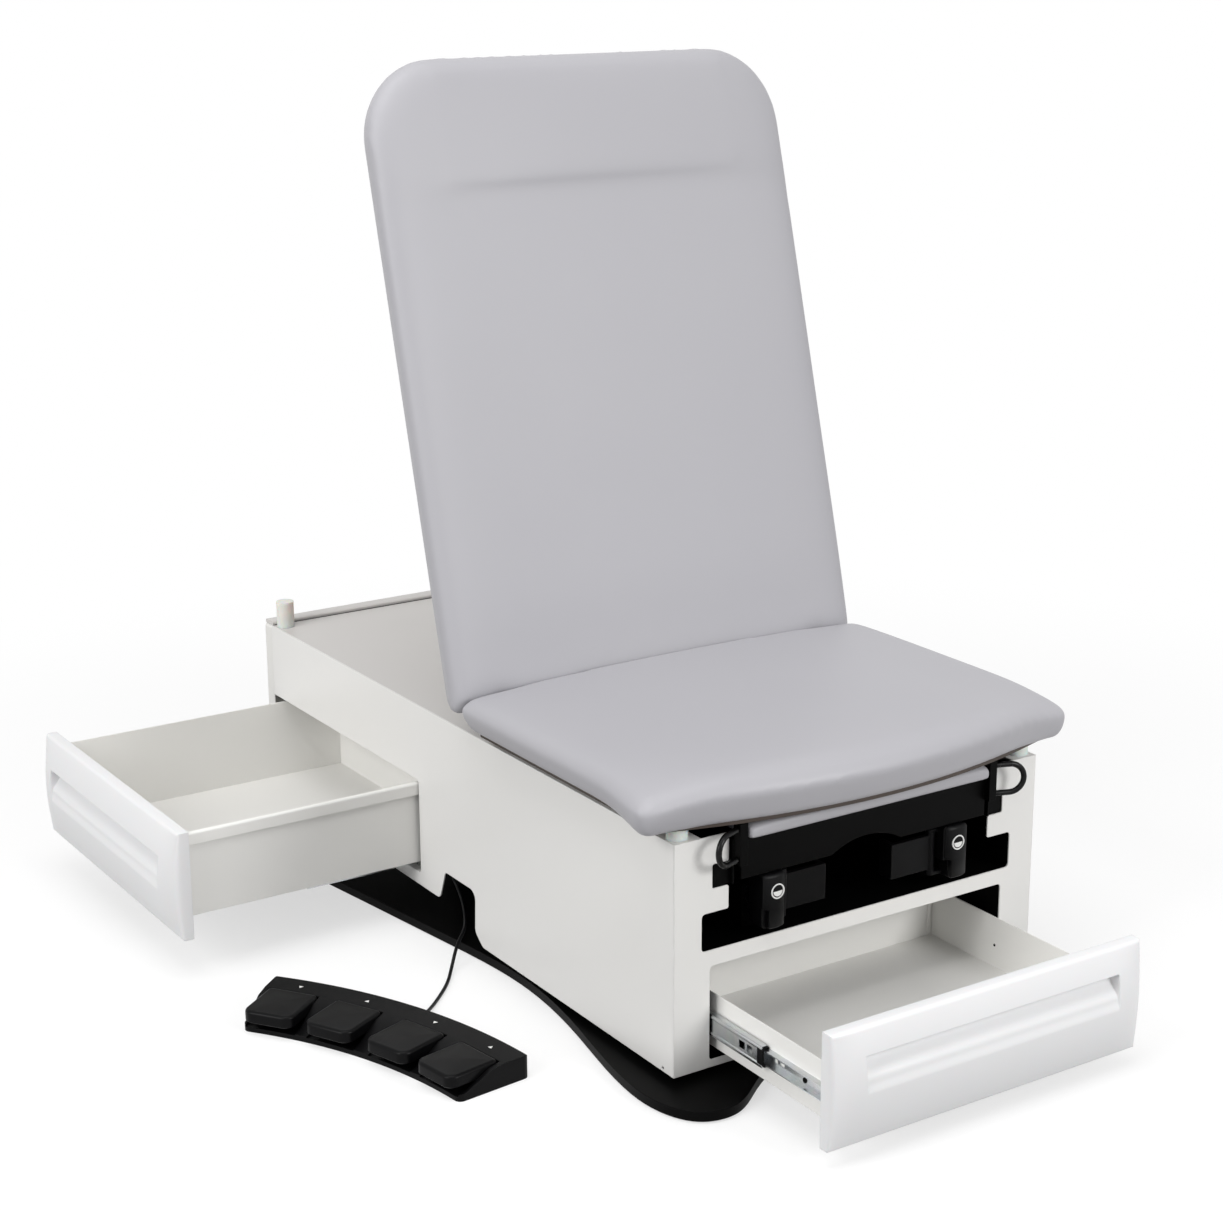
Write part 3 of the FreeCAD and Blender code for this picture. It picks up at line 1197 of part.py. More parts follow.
def pedal(angle):
    """Foot pedal with a gently domed top, hung on its pin at the rear."""
    half = PEDAL_WIDTH / 2
    y = (PEDAL_FRONT_RADIUS, PEDAL_REAR_RADIUS)
    low = PEDAL_PIVOT_Z - PEDAL_DROP
    top = low + PEDAL_THICKNESS
    outline = [(-half, y[0]), (half, y[0]), (half, y[1]), (-half, y[1])]
    plate = prism(outline, PEDAL_CORNERS, "z", low, top + PEDAL_CROWN)
    length = (y[0] - OVERRUN, y[1] + OVERRUN)
    plate = plate.common(vault(half + OVERRUN, low - OVERRUN, top, top + PEDAL_CROWN, length))
    barrel = pivot_rod(half, PEDAL_BARREL)
    bore = pivot_rod(half + OVERRUN, PEDAL_PIN + PEDAL_FIT)
    return in_foot_frame(turned(plate.fuse(barrel).cut(bore).removeSplitter(), angle))


def relief_ends():
    """Strain relief along the first run of the cord, half of it inside the foot control."""
    start = Vector(*CORD_ROUTE[0])
    along = (start - Vector(*CORD_ROUTE[1])).normalize()
    return start, start + along * RELIEF_LENGTH


def cord_strain_relief():
    start, end = relief_ends()
    return rod((start.x, start.y, start.z), (end.x, end.y, end.z), RELIEF_RADIUS)


def foot_cord():
    """Round cord along straight runs joined by tangent arcs."""
    points = [Vector(*p) for p in CORD_ROUTE]
    edges = []
    last = points[0]
    for before, corner, after in zip(points, points[1:], points[2:]):
        back = before - corner
        ahead = after - corner
        turn = math.pi - back.getAngle(ahead)
        reach = CORD_ARC_SHARE * min(back.Length, ahead.Length)
        back.normalize()
        ahead.normalize()
        radius = reach / math.tan(turn / 2)
        middle = corner + (back + ahead).normalize() * (radius / math.cos(turn / 2) - radius)
        edges.append(Part.makeLine(last, corner + back * reach))
        edges.append(Part.Arc(corner + back * reach, middle, corner + ahead * reach).toShape())
        last = corner + ahead * reach
        print("cord bend radius", round(radius, 1))
    edges.append(Part.makeLine(last, points[-1]))
    path = Part.Wire(edges)
    section = Part.Wire(Part.makeCircle(CORD_DIAMETER / 2, points[0], points[1] - points[0]))
    tube = path.makePipeShell([section], True, False)
    ideal = math.pi * CORD_DIAMETER ** 2 / 4 * path.Length
    print("cord length", round(path.Length, 1), "volume ratio", round(tube.Volume / ideal, 4))
    return tube


def leg_pad():
    """Upholstered pad of the leg extension with softly rounded upper edges."""
    top = LEG_TRAY_TOP + LEG_PAD_THICKNESS
    pad = block((-LEG_PAD_HALF, LEG_PAD_HALF), (LEG_PAD_FRONT, LEG_REAR_Y), (LEG_TRAY_TOP, top))
    return pad.makeFillet(LEG_PAD_EDGE, [e for e in pad.Edges if e.BoundBox.ZMin > top - TOLERANCE])


os.makedirs("parts", exist_ok=True)

export("base_plate", base_plate())
export("floor_pads", floor_pads())
export("lift_column_outer", column_stage(0))
export("lift_column_middle", column_stage(1))
export("lift_column_inner", column_stage(2))
export("column_bolts", column_bolts())
export("column_mount_plates", column_mount_plates())
export("left_side_panel", side_panel(True))
export("right_side_panel", side_panel(False))
export("front_panel", front_panel())
export("rear_cover", rear_cover())
export("mains_inlet", mains_inlet())
export("top_deck", top_deck())
export("front_bay_walls", front_bay_walls())
export("side_bay_floor", side_bay_floor())
export("stirrup_tray", stirrup_tray())
export("stirrup_sleeves", stirrup_sleeves())
for side, place in (("right", lambda shape: shape), ("left", mirrored)):
    export(side + "_stirrup_head", place(stirrup_head()))
    export(side + "_stirrup_arm", place(stirrup_arm()))
    export(side + "_stirrup_foot", place(stirrup_foot()))
    export(side + "_pull_handle", place(pull_handle()))
for member in ("outer", "middle", "inner"):
    export("front_slide_" + member, front_slide(member))
    export("side_slide_" + member, side_slide(member))
export("front_drawer_box", front_drawer_box())
export("front_drawer_face", front_drawer_face())
export("side_drawer_box", side_drawer_box())
export("side_drawer_face", side_drawer_face())
export("leg_guide_rails", leg_guide_rails())
export("leg_tray", leg_tray())
export("leg_runners", leg_runners())
export("leg_pad", leg_pad())
export("seat_frame", seat_frame())
export("support_posts", support_posts())
export("seat_board", seat_board())
export("seat_cushion", seat_cushion())
export("hinge_pins", hinge_pins())
export("back_frame", back_frame())
export("back_board", back_board())
export("back_cushion", back_cushion())
export("back_actuator", back_actuator())
export("actuator_brackets", actuator_brackets())
export("actuator_rod", actuator_rod())
export("control_box", control_box())
export("foot_control_base", foot_control_base())
export("pedal_pins", pedal_pins())
for number, angle in enumerate(PEDAL_ANGLES, 1):
    export("pedal_" + str(number), pedal(angle))
export("cord_strain_relief", cord_strain_relief())
export("foot_cord", foot_cord())
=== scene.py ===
import math

import bmesh
import bpy
import numpy as np
from mathutils import Matrix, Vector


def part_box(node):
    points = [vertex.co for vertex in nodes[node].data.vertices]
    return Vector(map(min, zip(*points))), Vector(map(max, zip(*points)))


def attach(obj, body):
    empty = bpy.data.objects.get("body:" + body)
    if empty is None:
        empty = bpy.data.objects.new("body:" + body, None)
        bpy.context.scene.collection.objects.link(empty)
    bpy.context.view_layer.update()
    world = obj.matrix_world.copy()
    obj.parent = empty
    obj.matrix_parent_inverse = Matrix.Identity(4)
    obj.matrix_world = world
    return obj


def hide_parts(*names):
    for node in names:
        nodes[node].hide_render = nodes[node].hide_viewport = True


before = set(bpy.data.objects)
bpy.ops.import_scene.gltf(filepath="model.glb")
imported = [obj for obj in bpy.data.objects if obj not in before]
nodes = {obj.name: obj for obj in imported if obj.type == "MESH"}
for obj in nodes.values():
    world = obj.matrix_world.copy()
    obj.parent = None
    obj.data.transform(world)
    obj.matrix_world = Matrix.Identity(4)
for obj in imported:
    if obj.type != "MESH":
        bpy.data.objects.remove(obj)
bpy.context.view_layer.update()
scene = bpy.context.scene
scene.view_settings.view_transform = "Standard"

# Viewpoint: the table is seen from its foot end and its left side, from a little above the seat. The angles
# are in degrees: round the table, above the horizon and of the camera's tilt. The lens is in millimetres.
CAMERA_ANGLES = (-32.98075, 16.01055, -0.27636)
CAMERA_PLACE = (-1.97633, -2.97310, 1.53386)
CAMERA_LENS = 69.82
CAMERA_SENSOR = 36.0
CAMERA_SIGHT = 200.0
azimuth, elevation, roll = np.radians(CAMERA_ANGLES)
back = np.array([
    math.sin(azimuth) * math.cos(elevation),
    -math.cos(azimuth) * math.cos(elevation),
    math.sin(elevation),
])
level = np.cross([0.0, 0.0, 1.0], back)
level /= np.linalg.norm(level)
rise = np.cross(back, level)
axes = np.eye(4)
axes[:3, 0] = math.cos(roll) * level + math.sin(roll) * rise
axes[:3, 1] = math.cos(roll) * rise - math.sin(roll) * level
axes[:3, 2] = back
axes[:3, 3] = CAMERA_PLACE
camera = bpy.data.objects.new("viewpoint", bpy.data.cameras.new("viewpoint"))
scene.collection.objects.link(camera)
camera.matrix_world = Matrix(axes.tolist())
camera.data.sensor_width = CAMERA_SENSOR
camera.data.lens = CAMERA_LENS
camera.data.clip_end = CAMERA_SIGHT
scene.camera = camera

# Studio: a plain pale floor that runs out to the horizon, an even white surround and three broad soft lamps.
# The surround lights every face a little, so that none goes dark, and looks pure white to the eye.
SURROUND_LIGHT = 0.45
FLOOR_HALF = 70.0
FLOOR_GLOW = 0.62
FLOOR_FADE = (0.9, 2.2)
LAMP_AIM = (0.0, 0.0, 0.45)
LAMPS = {
    "key_lamp": {"place": (-6.4, -0.75, 3.6), "side": 3.6, "power": 250.0},
    "fill_lamp": {"place": (1.4, -4.4, 2.1), "side": 1.6, "power": 106.0},
    "top_lamp": {"place": (-1.1, -0.7, 4.2), "side": 2.6, "power": 69.0},
}


def linear(colour):
    """Linear RGBA of an sRGB hex value."""
    channels = np.array([int(colour[i:i + 2], 16) for i in (0, 2, 4)]) / 255
    curve = ((channels + 0.055) / 1.055) ** 2.4
    return (*np.where(channels <= 0.04045, channels / 12.92, curve).tolist(), 1.0)


def add(tree, kind, inputs=None, **settings):
    """Adds one node: settings are its properties, inputs are values or sockets by input name or number."""
    made = tree.nodes.new("ShaderNode" + kind)
    for name, value in settings.items():
        setattr(made, name, value)
    for name, value in (inputs or {}).items():
        if isinstance(value, bpy.types.NodeSocket):
            tree.links.new(value, made.inputs[name])
        else:
            made.inputs[name].default_value = value
    return made


def seen_rays(tree):
    """Socket that is 1 for rays that show a thing to the eye: straight, through glass or in a reflection."""
    ray = add(tree, "LightPath").outputs
    direct = add(tree, "Math", {0: ray["Is Camera Ray"], 1: ray["Is Transmission Ray"]}, operation="MAXIMUM")
    both = add(tree, "Math", {0: direct.outputs[0], 1: ray["Is Glossy Ray"]}, operation="MAXIMUM")
    return both.outputs[0]


world = bpy.data.worlds.new("surround")
scene.world = world
world.use_nodes = True
tree = world.node_tree
glow = add(tree, "Math", {0: seen_rays(tree), 1: 1.0 - SURROUND_LIGHT, 2: SURROUND_LIGHT},
           operation="MULTIPLY_ADD")
tree.links.new(glow.outputs[0], tree.nodes["Background"].inputs["Strength"])
tree.nodes["Background"].inputs["Color"].default_value = linear("FFFFFF")

# The floor is matt paper. It glows a little to the eye and goes over to plain white with the distance, which
# leaves only the table's shadow on it.
corners = [(x * FLOOR_HALF, y * FLOOR_HALF, 0.0) for x, y in ((-1, -1), (1, -1), (1, 1), (-1, 1))]
floor_mesh = bpy.data.meshes.new("studio_floor")
floor_mesh.from_pydata(corners, [], [(0, 1, 2, 3)])
floor = bpy.data.objects.new("studio_floor", floor_mesh)
scene.collection.objects.link(floor)
paper = bpy.data.materials.new("floor_paper")
paper.use_nodes = True
tree = paper.node_tree
shader = tree.nodes["Principled BSDF"]
shader.inputs["Base Color"].default_value = linear("A4A4A4")
shader.inputs["Roughness"].default_value = 0.9
shader.inputs["Specular IOR Level"].default_value = 0.1
shader.inputs["Emission Color"].default_value = linear("FFFFFF")
distance = add(tree, "VectorMath", {0: add(tree, "TexCoord").outputs["Object"]}, operation="LENGTH")
far = add(tree, "MapRange", {"Value": distance.outputs["Value"], "From Min": FLOOR_FADE[0],
                             "From Max": FLOOR_FADE[1]}, interpolation_type="SMOOTHSTEP")
seen = seen_rays(tree)
fade = add(tree, "Math", {0: far.outputs[0], 1: seen}, operation="MULTIPLY")
glow = add(tree, "Math", {0: seen, 1: FLOOR_GLOW}, operation="MULTIPLY")
tree.links.new(glow.outputs[0], shader.inputs["Emission Strength"])
white = add(tree, "Emission", {"Color": linear("FFFFFF")})
mixed = add(tree, "MixShader", {0: fade.outputs[0], 1: shader.outputs[0], 2: white.outputs[0]})
tree.links.new(mixed.outputs[0], tree.nodes["Material Output"].inputs["Surface"])
floor_mesh.materials.append(paper)

# Each lamp is a square panel that faces the aim.
for name, setting in LAMPS.items():
    lamp = bpy.data.objects.new(name, bpy.data.lights.new(name, "AREA"))
    scene.collection.objects.link(lamp)
    lamp.data.size = setting["side"]
    lamp.data.energy = setting["power"]
    out = np.array(setting["place"]) - LAMP_AIM
    out /= np.linalg.norm(out)
    across = np.cross([0.0, 1.0, 0.0], out)
    across /= np.linalg.norm(across)
    turn = np.eye(4)
    turn[:3] = np.column_stack([across, np.cross(out, across), out, setting["place"]])
    lamp.matrix_world = Matrix(turn.tolist())

# Floor plate: one thick steel plate, cut to a waisted outline and powder coated in satin black, on five
# rubber pads that keep it off the floor.
FOLD_ANGLE = 28.0
JOIN_DISTANCE = 1e-5


def finish(name, colour, shade, patch, roughness, grain, depth, edge, **sockets):
    """Material with a mottle between two colours, a bumpy grain and softened edges. The mottle's patches, the
    grain's size and depth and the edges' radius are in millimetres; roughness is a low and a high value."""
    material = bpy.data.materials.new(name)
    material.use_nodes = True
    tree = material.node_tree
    shader = tree.nodes["Principled BSDF"]
    place = add(tree, "TexCoord").outputs["Object"]
    mottle = add(tree, "TexNoise", {"Vector": place, "Scale": 1000.0 / patch, "Detail": 3.0}).outputs[0]
    tint = add(tree, "Mix", {0: mottle, 6: linear(colour), 7: linear(shade)}, data_type="RGBA")
    smear = add(tree, "TexNoise", {"Vector": place, "Scale": 400.0 / patch, "Detail": 4.0}).outputs[0]
    dull = add(tree, "MapRange", {"Value": smear, "From Min": 0.3, "From Max": 0.7, "To Min": roughness[0],
                                  "To Max": roughness[1]})
    peel = add(tree, "TexNoise", {"Vector": place, "Scale": 1000.0 / grain, "Detail": 2.0}).outputs[0]
    soft = add(tree, "Bevel", {"Radius": edge / 1000.0}, samples=4).outputs[0]
    bump = add(tree, "Bump", {"Height": peel, "Distance": depth / 1000.0, "Strength": 1.0, "Normal": soft})
    tree.links.new(tint.outputs[2], shader.inputs["Base Color"])
    tree.links.new(dull.outputs[0], shader.inputs["Roughness"])
    tree.links.new(bump.outputs[0], shader.inputs["Normal"])
    for socket, value in sockets.items():
        shader.inputs[socket.replace("_", " ")].default_value = value
    return material


def dress(material, *names):
    """Gives CAD nodes their finish: curved walls are shaded smooth and folded edges stay sharp."""
    for name in names:
        piece = nodes[name]
        piece.data.materials.clear()
        piece.data.materials.append(material)
        piece.data.polygons.foreach_set("use_smooth", np.ones(len(piece.data.polygons), bool))
        weld = piece.modifiers.new("joined", "WELD")
        weld.merge_threshold = JOIN_DISTANCE
        fold = piece.modifiers.new("folds", "EDGE_SPLIT")
        fold.split_angle = math.radians(FOLD_ANGLE)


# The cured powder's fine texture scatters light, so the black stays deep with only a faint highlight. The
# pads' rubber is a greyer, duller black.
black_coat = finish("black_powder_coat", "030303", "050505", patch=90.0, roughness=(0.4, 0.5),
                    grain=1.6, depth=0.05, edge=1.5, Specular_IOR_Level=0.05)
rubber = finish("moulded_black_rubber", "0D0D0E", "141414", patch=40.0, roughness=(0.5, 0.7),
                grain=0.9, depth=0.05, edge=0.8, Specular_IOR_Level=0.4)
dress(black_coat, "base_plate")
dress(rubber, "floor_pads")

# Lift columns: two telescopic columns of drawn and anodised aluminium profile in three stages. A flange and
# zinc-plated bolts hold them to the floor plate, and coated steel plates carry the cabinet on top.
# Anodising leaves a silky even metal; the bolts are a little shinier and more mottled.
anodised = finish("anodised_aluminium", "B9BCBF", "ACAFB2", patch=120.0, roughness=(0.3, 0.42),
                  grain=1.2, depth=0.01, edge=0.8, Metallic=1.0)
zinc_bolt = finish("zinc_plated_steel", "B4B6B4", "A3A6A6", patch=12.0, roughness=(0.25, 0.4),
                   grain=0.8, depth=0.01, edge=0.5, Metallic=1.0)
dress(anodised, "lift_column_outer", "lift_column_middle", "lift_column_inner")
dress(zinc_bolt, "column_bolts")
dress(black_coat, "column_mount_plates")

# Control box and foot control: moulded black ABS housings, one on the floor plate and one on the floor. The
# foot control has four pedals in pockets, each on a turned steel pin.
# The mould's texture gives the plastic a fine even grain that breaks its highlight; the pins shine.
black_abs = finish("grained_black_abs", "060607", "09090A", patch=60.0, roughness=(0.34, 0.42),
                   grain=1.5, depth=0.05, edge=1.8, Specular_IOR_Level=0.09)
turned_steel = finish("turned_steel", "A9ABAD", "9B9DA0", patch=10.0, roughness=(0.22, 0.34),
                      grain=0.6, depth=0.006, edge=0.4, Metallic=1.0)
dress(black_abs, "control_box", "foot_control_base")
dress(turned_steel, "pedal_pins")

# Pedals: moulded rubber caps with a rounded upper edge and a very slight dome, each hinged on its pin. A cap
# is a stack of rounded rectangles: up the side, round the edge on a quarter circle, and in over the dome.
# Places on the foot control are a distance from the middle of its arc and an angle round it.
FOOT_PLACE = (-0.621, -0.230)
FOOT_TURN = math.radians(-67.3)
FOOT_RADIUS = 0.679
PEDALS = {"pedal_1": -13.1, "pedal_2": -4.6, "pedal_3": 4.6, "pedal_4": 13.1}
PEDAL_HALF, PEDAL_FRONT, PEDAL_REAR = 0.040, 0.667, 0.752
PEDAL_REAR_CORNER, PEDAL_FRONT_CORNER = 0.007, 0.016
PEDAL_LOW, PEDAL_HIGH = 0.0200, 0.0382
PEDAL_EDGE, PEDAL_DOME = 0.0050, 0.0015
PEDAL_UNDERSIDE, PEDAL_LOWER_EDGE = 0.012, 0.0015
DOME_SHARES = (0.97, 0.9, 0.8, 0.68, 0.54, 0.38, 0.2, 0.0)
WELD_DISTANCE, EMPTY_DISTANCE = 1e-6, 1e-7


def closed(rows):
    """Rows of points with a row added at each end, drawn together to a point, that closes the end."""
    return np.concatenate([rows[:1] * 0 + rows[0].mean(0), rows, rows[-1:] * 0 + rows[-1].mean(0)])


def skin(name, grids, body, material, crease=40.0):
    """One piece from grids of points, each an array of rows, columns and three coordinates. Each square of
    a grid is a face; a wrapped grid joins its last column to its first. Edges past the crease stay sharp."""
    points, faces, start = [], [], 0
    for grid, wrapped in grids:
        rows, columns = grid.shape[:2]
        index = np.arange(rows * columns).reshape(rows, columns) + start
        if wrapped:
            index = np.hstack([index, index[:, :1]])
        corners = [index[:-1, :-1], index[:-1, 1:], index[1:, 1:], index[1:, :-1]]
        faces.append(np.stack(corners, -1).reshape(-1, 4))
        points.append(grid.reshape(-1, 3))
        start += rows * columns
    mesh = bpy.data.meshes.new(name)
    mesh.from_pydata(np.concatenate(points).tolist(), [], np.concatenate(faces).tolist())
    shape = bmesh.new()
    shape.from_mesh(mesh)
    bmesh.ops.remove_doubles(shape, verts=shape.verts, dist=WELD_DISTANCE)
    bmesh.ops.dissolve_degenerate(shape, edges=shape.edges, dist=EMPTY_DISTANCE)
    bmesh.ops.recalc_face_normals(shape, faces=shape.faces)
    shape.to_mesh(mesh)
    shape.free()
    mesh.polygons.foreach_set("use_smooth", np.ones(len(mesh.polygons), bool))
    mesh.set_sharp_from_angle(angle=math.radians(crease))
    mesh.materials.append(material)
    piece = bpy.data.objects.new(name, mesh)
    scene.collection.objects.link(piece)
    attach(piece, body)
    return piece


def pedal_ring(inset):
    """Outline of a pedal drawn in by the inset: a quarter circle at each corner, counter-clockwise."""
    quarter = np.linspace(0.0, np.pi / 2, 9)
    ring = []
    for turn, (right, rear) in enumerate(((1, 1), (0, 1), (0, 0), (1, 0))):
        radius = PEDAL_REAR_CORNER if rear else PEDAL_FRONT_CORNER
        reach, bend = max(radius, inset), max(radius - inset, 0.0)
        x = PEDAL_HALF - reach if right else reach - PEDAL_HALF
        y = PEDAL_REAR - reach if rear else PEDAL_FRONT + reach
        angle = quarter + turn * np.pi / 2
        ring.append(np.stack([x + bend * np.cos(angle), y + bend * np.sin(angle)], -1))
    return np.concatenate(ring)


def on_floor(x, y, z, angle):
    """Places points drawn beside a pedal's axis on the floor: turned to the pedal, then with the control."""
    turn = math.radians(-angle)
    x, y = x * math.cos(turn) - y * math.sin(turn), x * math.sin(turn) + y * math.cos(turn) - FOOT_RADIUS
    return np.stack([
        FOOT_PLACE[0] + x * math.cos(FOOT_TURN) - y * math.sin(FOOT_TURN),
        FOOT_PLACE[1] + x * math.sin(FOOT_TURN) + y * math.cos(FOOT_TURN),
        z + 0 * x,
    ], -1)


# Moulded rubber is a soft deep black, a little smoother than the housing round it.
cap_rubber = finish("moulded_pedal_rubber", "070708", "0A0A0B", patch=35.0, roughness=(0.28, 0.36),
                    grain=1.4, depth=0.03, edge=0.8, Specular_IOR_Level=0.09)
pedal_levels = [
    (PEDAL_UNDERSIDE, PEDAL_LOW),
    (PEDAL_LOWER_EDGE, PEDAL_LOW),
    (0.0, PEDAL_LOW + PEDAL_LOWER_EDGE),
]
for bend in np.linspace(0.0, np.pi / 2, 7):
    pedal_levels.append((PEDAL_EDGE * (1 - math.cos(bend)), PEDAL_HIGH - PEDAL_EDGE * (1 - math.sin(bend))))
pedal_middle = np.array([0.0, (PEDAL_FRONT + PEDAL_REAR) / 2])
dome_rim = pedal_ring(PEDAL_EDGE) - pedal_middle
dome_half = np.abs(dome_rim).max(0)
for name, angle in PEDALS.items():
    stack = [on_floor(*pedal_ring(inset).T, height, angle) for inset, height in pedal_levels]
    for share in DOME_SHARES:
        ring = dome_rim * share
        dome = np.prod(1 - (ring / dome_half) ** 2, axis=1)
        stack.append(on_floor(*(pedal_middle + ring).T, PEDAL_HIGH + PEDAL_DOME * dome, angle))
    pedal = skin(name + "_cap", [(closed(np.array(stack)), True)], name, cap_rubber)
    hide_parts(name)

# Marks behind the pedals: small raised arrows, up for one pedal and down for the next, moulded in white nylon
# and set into the housing. Each is a triangle drawn up from just under the housing's top.
MARK_RADIUS = 0.772
MARK_HALF, MARK_TAIL, MARK_TIP = 0.0035, 0.0025, 0.0035
MARK_SUNK, MARK_PROUD = 0.0001, 0.0004


def box(name):
    """Lowest and highest corner of a CAD node, to the micrometre."""
    return np.round(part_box(name), 6)


# The white is plain and dull, so that it reads as a clear mark on the black.
white_nylon = finish("moulded_white_nylon", "E8E8E6", "DEDEDC", patch=20.0, roughness=(0.45, 0.55),
                     grain=0.8, depth=0.01, edge=0.2)
foot_top = box("foot_control_base")[1, 2]
for number, angle in enumerate(PEDALS.values()):
    way = 1.0 if number % 2 else -1.0
    x = np.array([-MARK_HALF, MARK_HALF, 0.0])
    y = MARK_RADIUS + way * np.array([-MARK_TAIL, -MARK_TAIL, MARK_TIP])
    arrow = [on_floor(x, y, height, angle) for height in (foot_top - MARK_SUNK, foot_top + MARK_PROUD)]
    arrow = closed(np.array(arrow))
    skin("pedal_mark_%d" % (number + 1), [(arrow, True)], "base", white_nylon)

# Cord of the foot control: a round cable in black PVC, 5.5 mm thick. It leaves the strain relief, lies on
# the floor, climbs over the plate's edge under the cabinet's notch and ends in the control box's gland.
CORD_ROUTE = [
    (-0.490, -0.1795, 0.013), (-0.470, -0.156, 0.0045), (-0.440, -0.128, 0.0032), (-0.402, -0.089, 0.0032),
    (-0.374, -0.050, 0.004), (-0.345, -0.017, 0.0255), (-0.309, 0.022, 0.0265), (-0.279, 0.072, 0.0205),
    (-0.249, 0.133, 0.0202), (-0.226, 0.192, 0.0205), (-0.207, 0.246, 0.0202), (-0.172, 0.290, 0.026),
    (-0.129, 0.290, 0.026),
]
CORD_DIAMETER = 0.0055
# Extruded PVC is smooth and black, with a thin highlight along its upper side.
pvc = finish("extruded_black_pvc", "070708", "0B0B0C", patch=30.0, roughness=(0.34, 0.42),
             grain=1.0, depth=0.02, edge=0.3, Specular_IOR_Level=0.25)
line = bpy.data.curves.new("foot_control_cord", "CURVE")
line.dimensions = "3D"
spline = line.splines.new("NURBS")
spline.points.add(len(CORD_ROUTE) - 1)
spline.points.foreach_set("co", np.column_stack([CORD_ROUTE, np.ones(len(CORD_ROUTE))]).ravel())
spline.order_u = 3
spline.use_endpoint_u = True
spline.resolution_u = 12
line.bevel_depth = CORD_DIAMETER / 2
line.bevel_resolution = 5
line.use_fill_caps = True
line.materials.append(pvc)
cord = bpy.data.objects.new("foot_control_cord", line)
scene.collection.objects.link(cord)
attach(cord, "base")
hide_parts("foot_cord")

# Strain relief: a soft rubber sleeve moulded on the cord, with four grooves that let it flex. Its radius
# grows evenly towards the foot control, and each groove is a plain step where a cosine is negative.
SLEEVE_LENGTH = 0.030
SLEEVE_THIN, SLEEVE_FLARE = 0.0032, 0.0022
GROOVE_DEPTH, GROOVE_WAVES, GROOVES_END = 0.0006, 5, 0.75


def turned(name, profile, centre, axis, body, material, crease=40.0, half=False):
    """Round piece: a profile of distance along the axis and radius, turned about the axis through the centre.
    A half piece has the sine of its lower half set to zero, which folds that half into a closing wall."""
    axis = np.array(axis) / np.linalg.norm(axis)
    side = np.cross(axis, [0.0, 0.0, 1.0] if abs(axis[2]) < 0.9 else [0.0, 1.0, 0.0])
    side /= np.linalg.norm(side)
    angle = np.linspace(0.0, 2 * np.pi, 40, endpoint=False)
    height = np.maximum(np.sin(angle), 0.0 if half else -1.0)
    wheel = np.cos(angle)[:, None] * side + height[:, None] * np.cross(axis, side)
    along, radius = np.array(profile).T
    grid = np.array(centre) + along[:, None, None] * axis + radius[:, None, None] * wheel
    return skin(name, [(grid, True)], body, material, crease)


start = np.array(CORD_ROUTE[0])
along = start - np.array(CORD_ROUTE[1])
along /= np.linalg.norm(along)
share = np.linspace(0.0, 1.0, 61)
groove = GROOVE_DEPTH * (np.cos(share * 2 * GROOVE_WAVES * np.pi) < 0) * (share < GROOVES_END)
radius = np.concatenate([[0.0], SLEEVE_THIN + SLEEVE_FLARE * share - groove, [0.0]])
reach = np.concatenate([[0.0], share, [1.0]]) * SLEEVE_LENGTH
relief = turned("cord_strain_sleeve", np.stack([reach, radius], -1), start, along, "base", rubber)
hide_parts("cord_strain_relief")

# Cabinet: folded sheet steel in white powder coat, on the lift columns' plates. A sheet deck closes its top
# behind the seat, and a second sheet is the floor under the side drawer.
# Cured powder leaves a shallow orange peel with a satin gloss. The deck is the same coat, duller, and painted
# a shade greyer: painted shade for a top that takes less light than the sides.
cabinet_coat = finish("white_powder_coat", "E5E4E2", "E2E1DE", patch=260.0, roughness=(0.27, 0.31),
                      grain=3.0, depth=0.012, edge=1.8, Specular_IOR_Level=0.33)
deck_shaded_coat = finish("dull_shaded_white_powder_coat", "D0CDCA", "CCC9C6", patch=260.0, roughness=(0.32, 0.38),
                   grain=3.0, depth=0.012, edge=1.0, Specular_IOR_Level=0.15)
dress(cabinet_coat, "left_side_panel", "right_side_panel", "front_panel", "side_bay_floor")
dress(deck_shaded_coat, "top_deck")

# Rear cover: a vacuum-formed ABS shell that closes the head end, with the mains inlet let into it.
# The textured sheet it is formed from looks a little duller than the cabinet's coat.
cover_abs = finish("textured_white_abs", "E3E2DF", "DFDEDA", patch=120.0, roughness=(0.38, 0.5),
                   grain=1.4, depth=0.03, edge=1.8, Specular_IOR_Level=0.35)
dress(cover_abs, "rear_cover")
dress(black_abs, "mains_inlet")

# Rear strip of the deck: a folded cap along the head end, six millimetres proud of the deck, with a rubber
# seal in the joint in front of it. Both are a profile, given as a place behind the deck's rear edge and a
# height over the deck, drawn across the cabinet. The seal's profile is half an ellipse.
STRIP_PROFILE = np.array([
    (-0.0025, -0.0010), (-0.0025, 0.0038), (-0.0016, 0.0052), (0.0005, 0.0060),
    (0.0230, 0.0060), (0.0255, 0.0050), (0.0265, 0.0030), (0.0265, -0.0010),
])
STRIP_END = 0.0005
SEAL_MIDDLE, SEAL_HALF = -0.0038, 0.0013
SEAL_SUNK, SEAL_HEIGHT = 0.0003, 0.0012
deck_half, deck_rear, deck_top = box("top_deck")[1]
half_turn = np.linspace(0.0, np.pi, 9)


def across_deck(profile, *places):
    """Rows of a profile, one at each place across the deck."""
    profile = profile + (deck_rear, deck_top)
    return np.stack([np.column_stack([np.full(len(profile), x), profile]) for x in places])


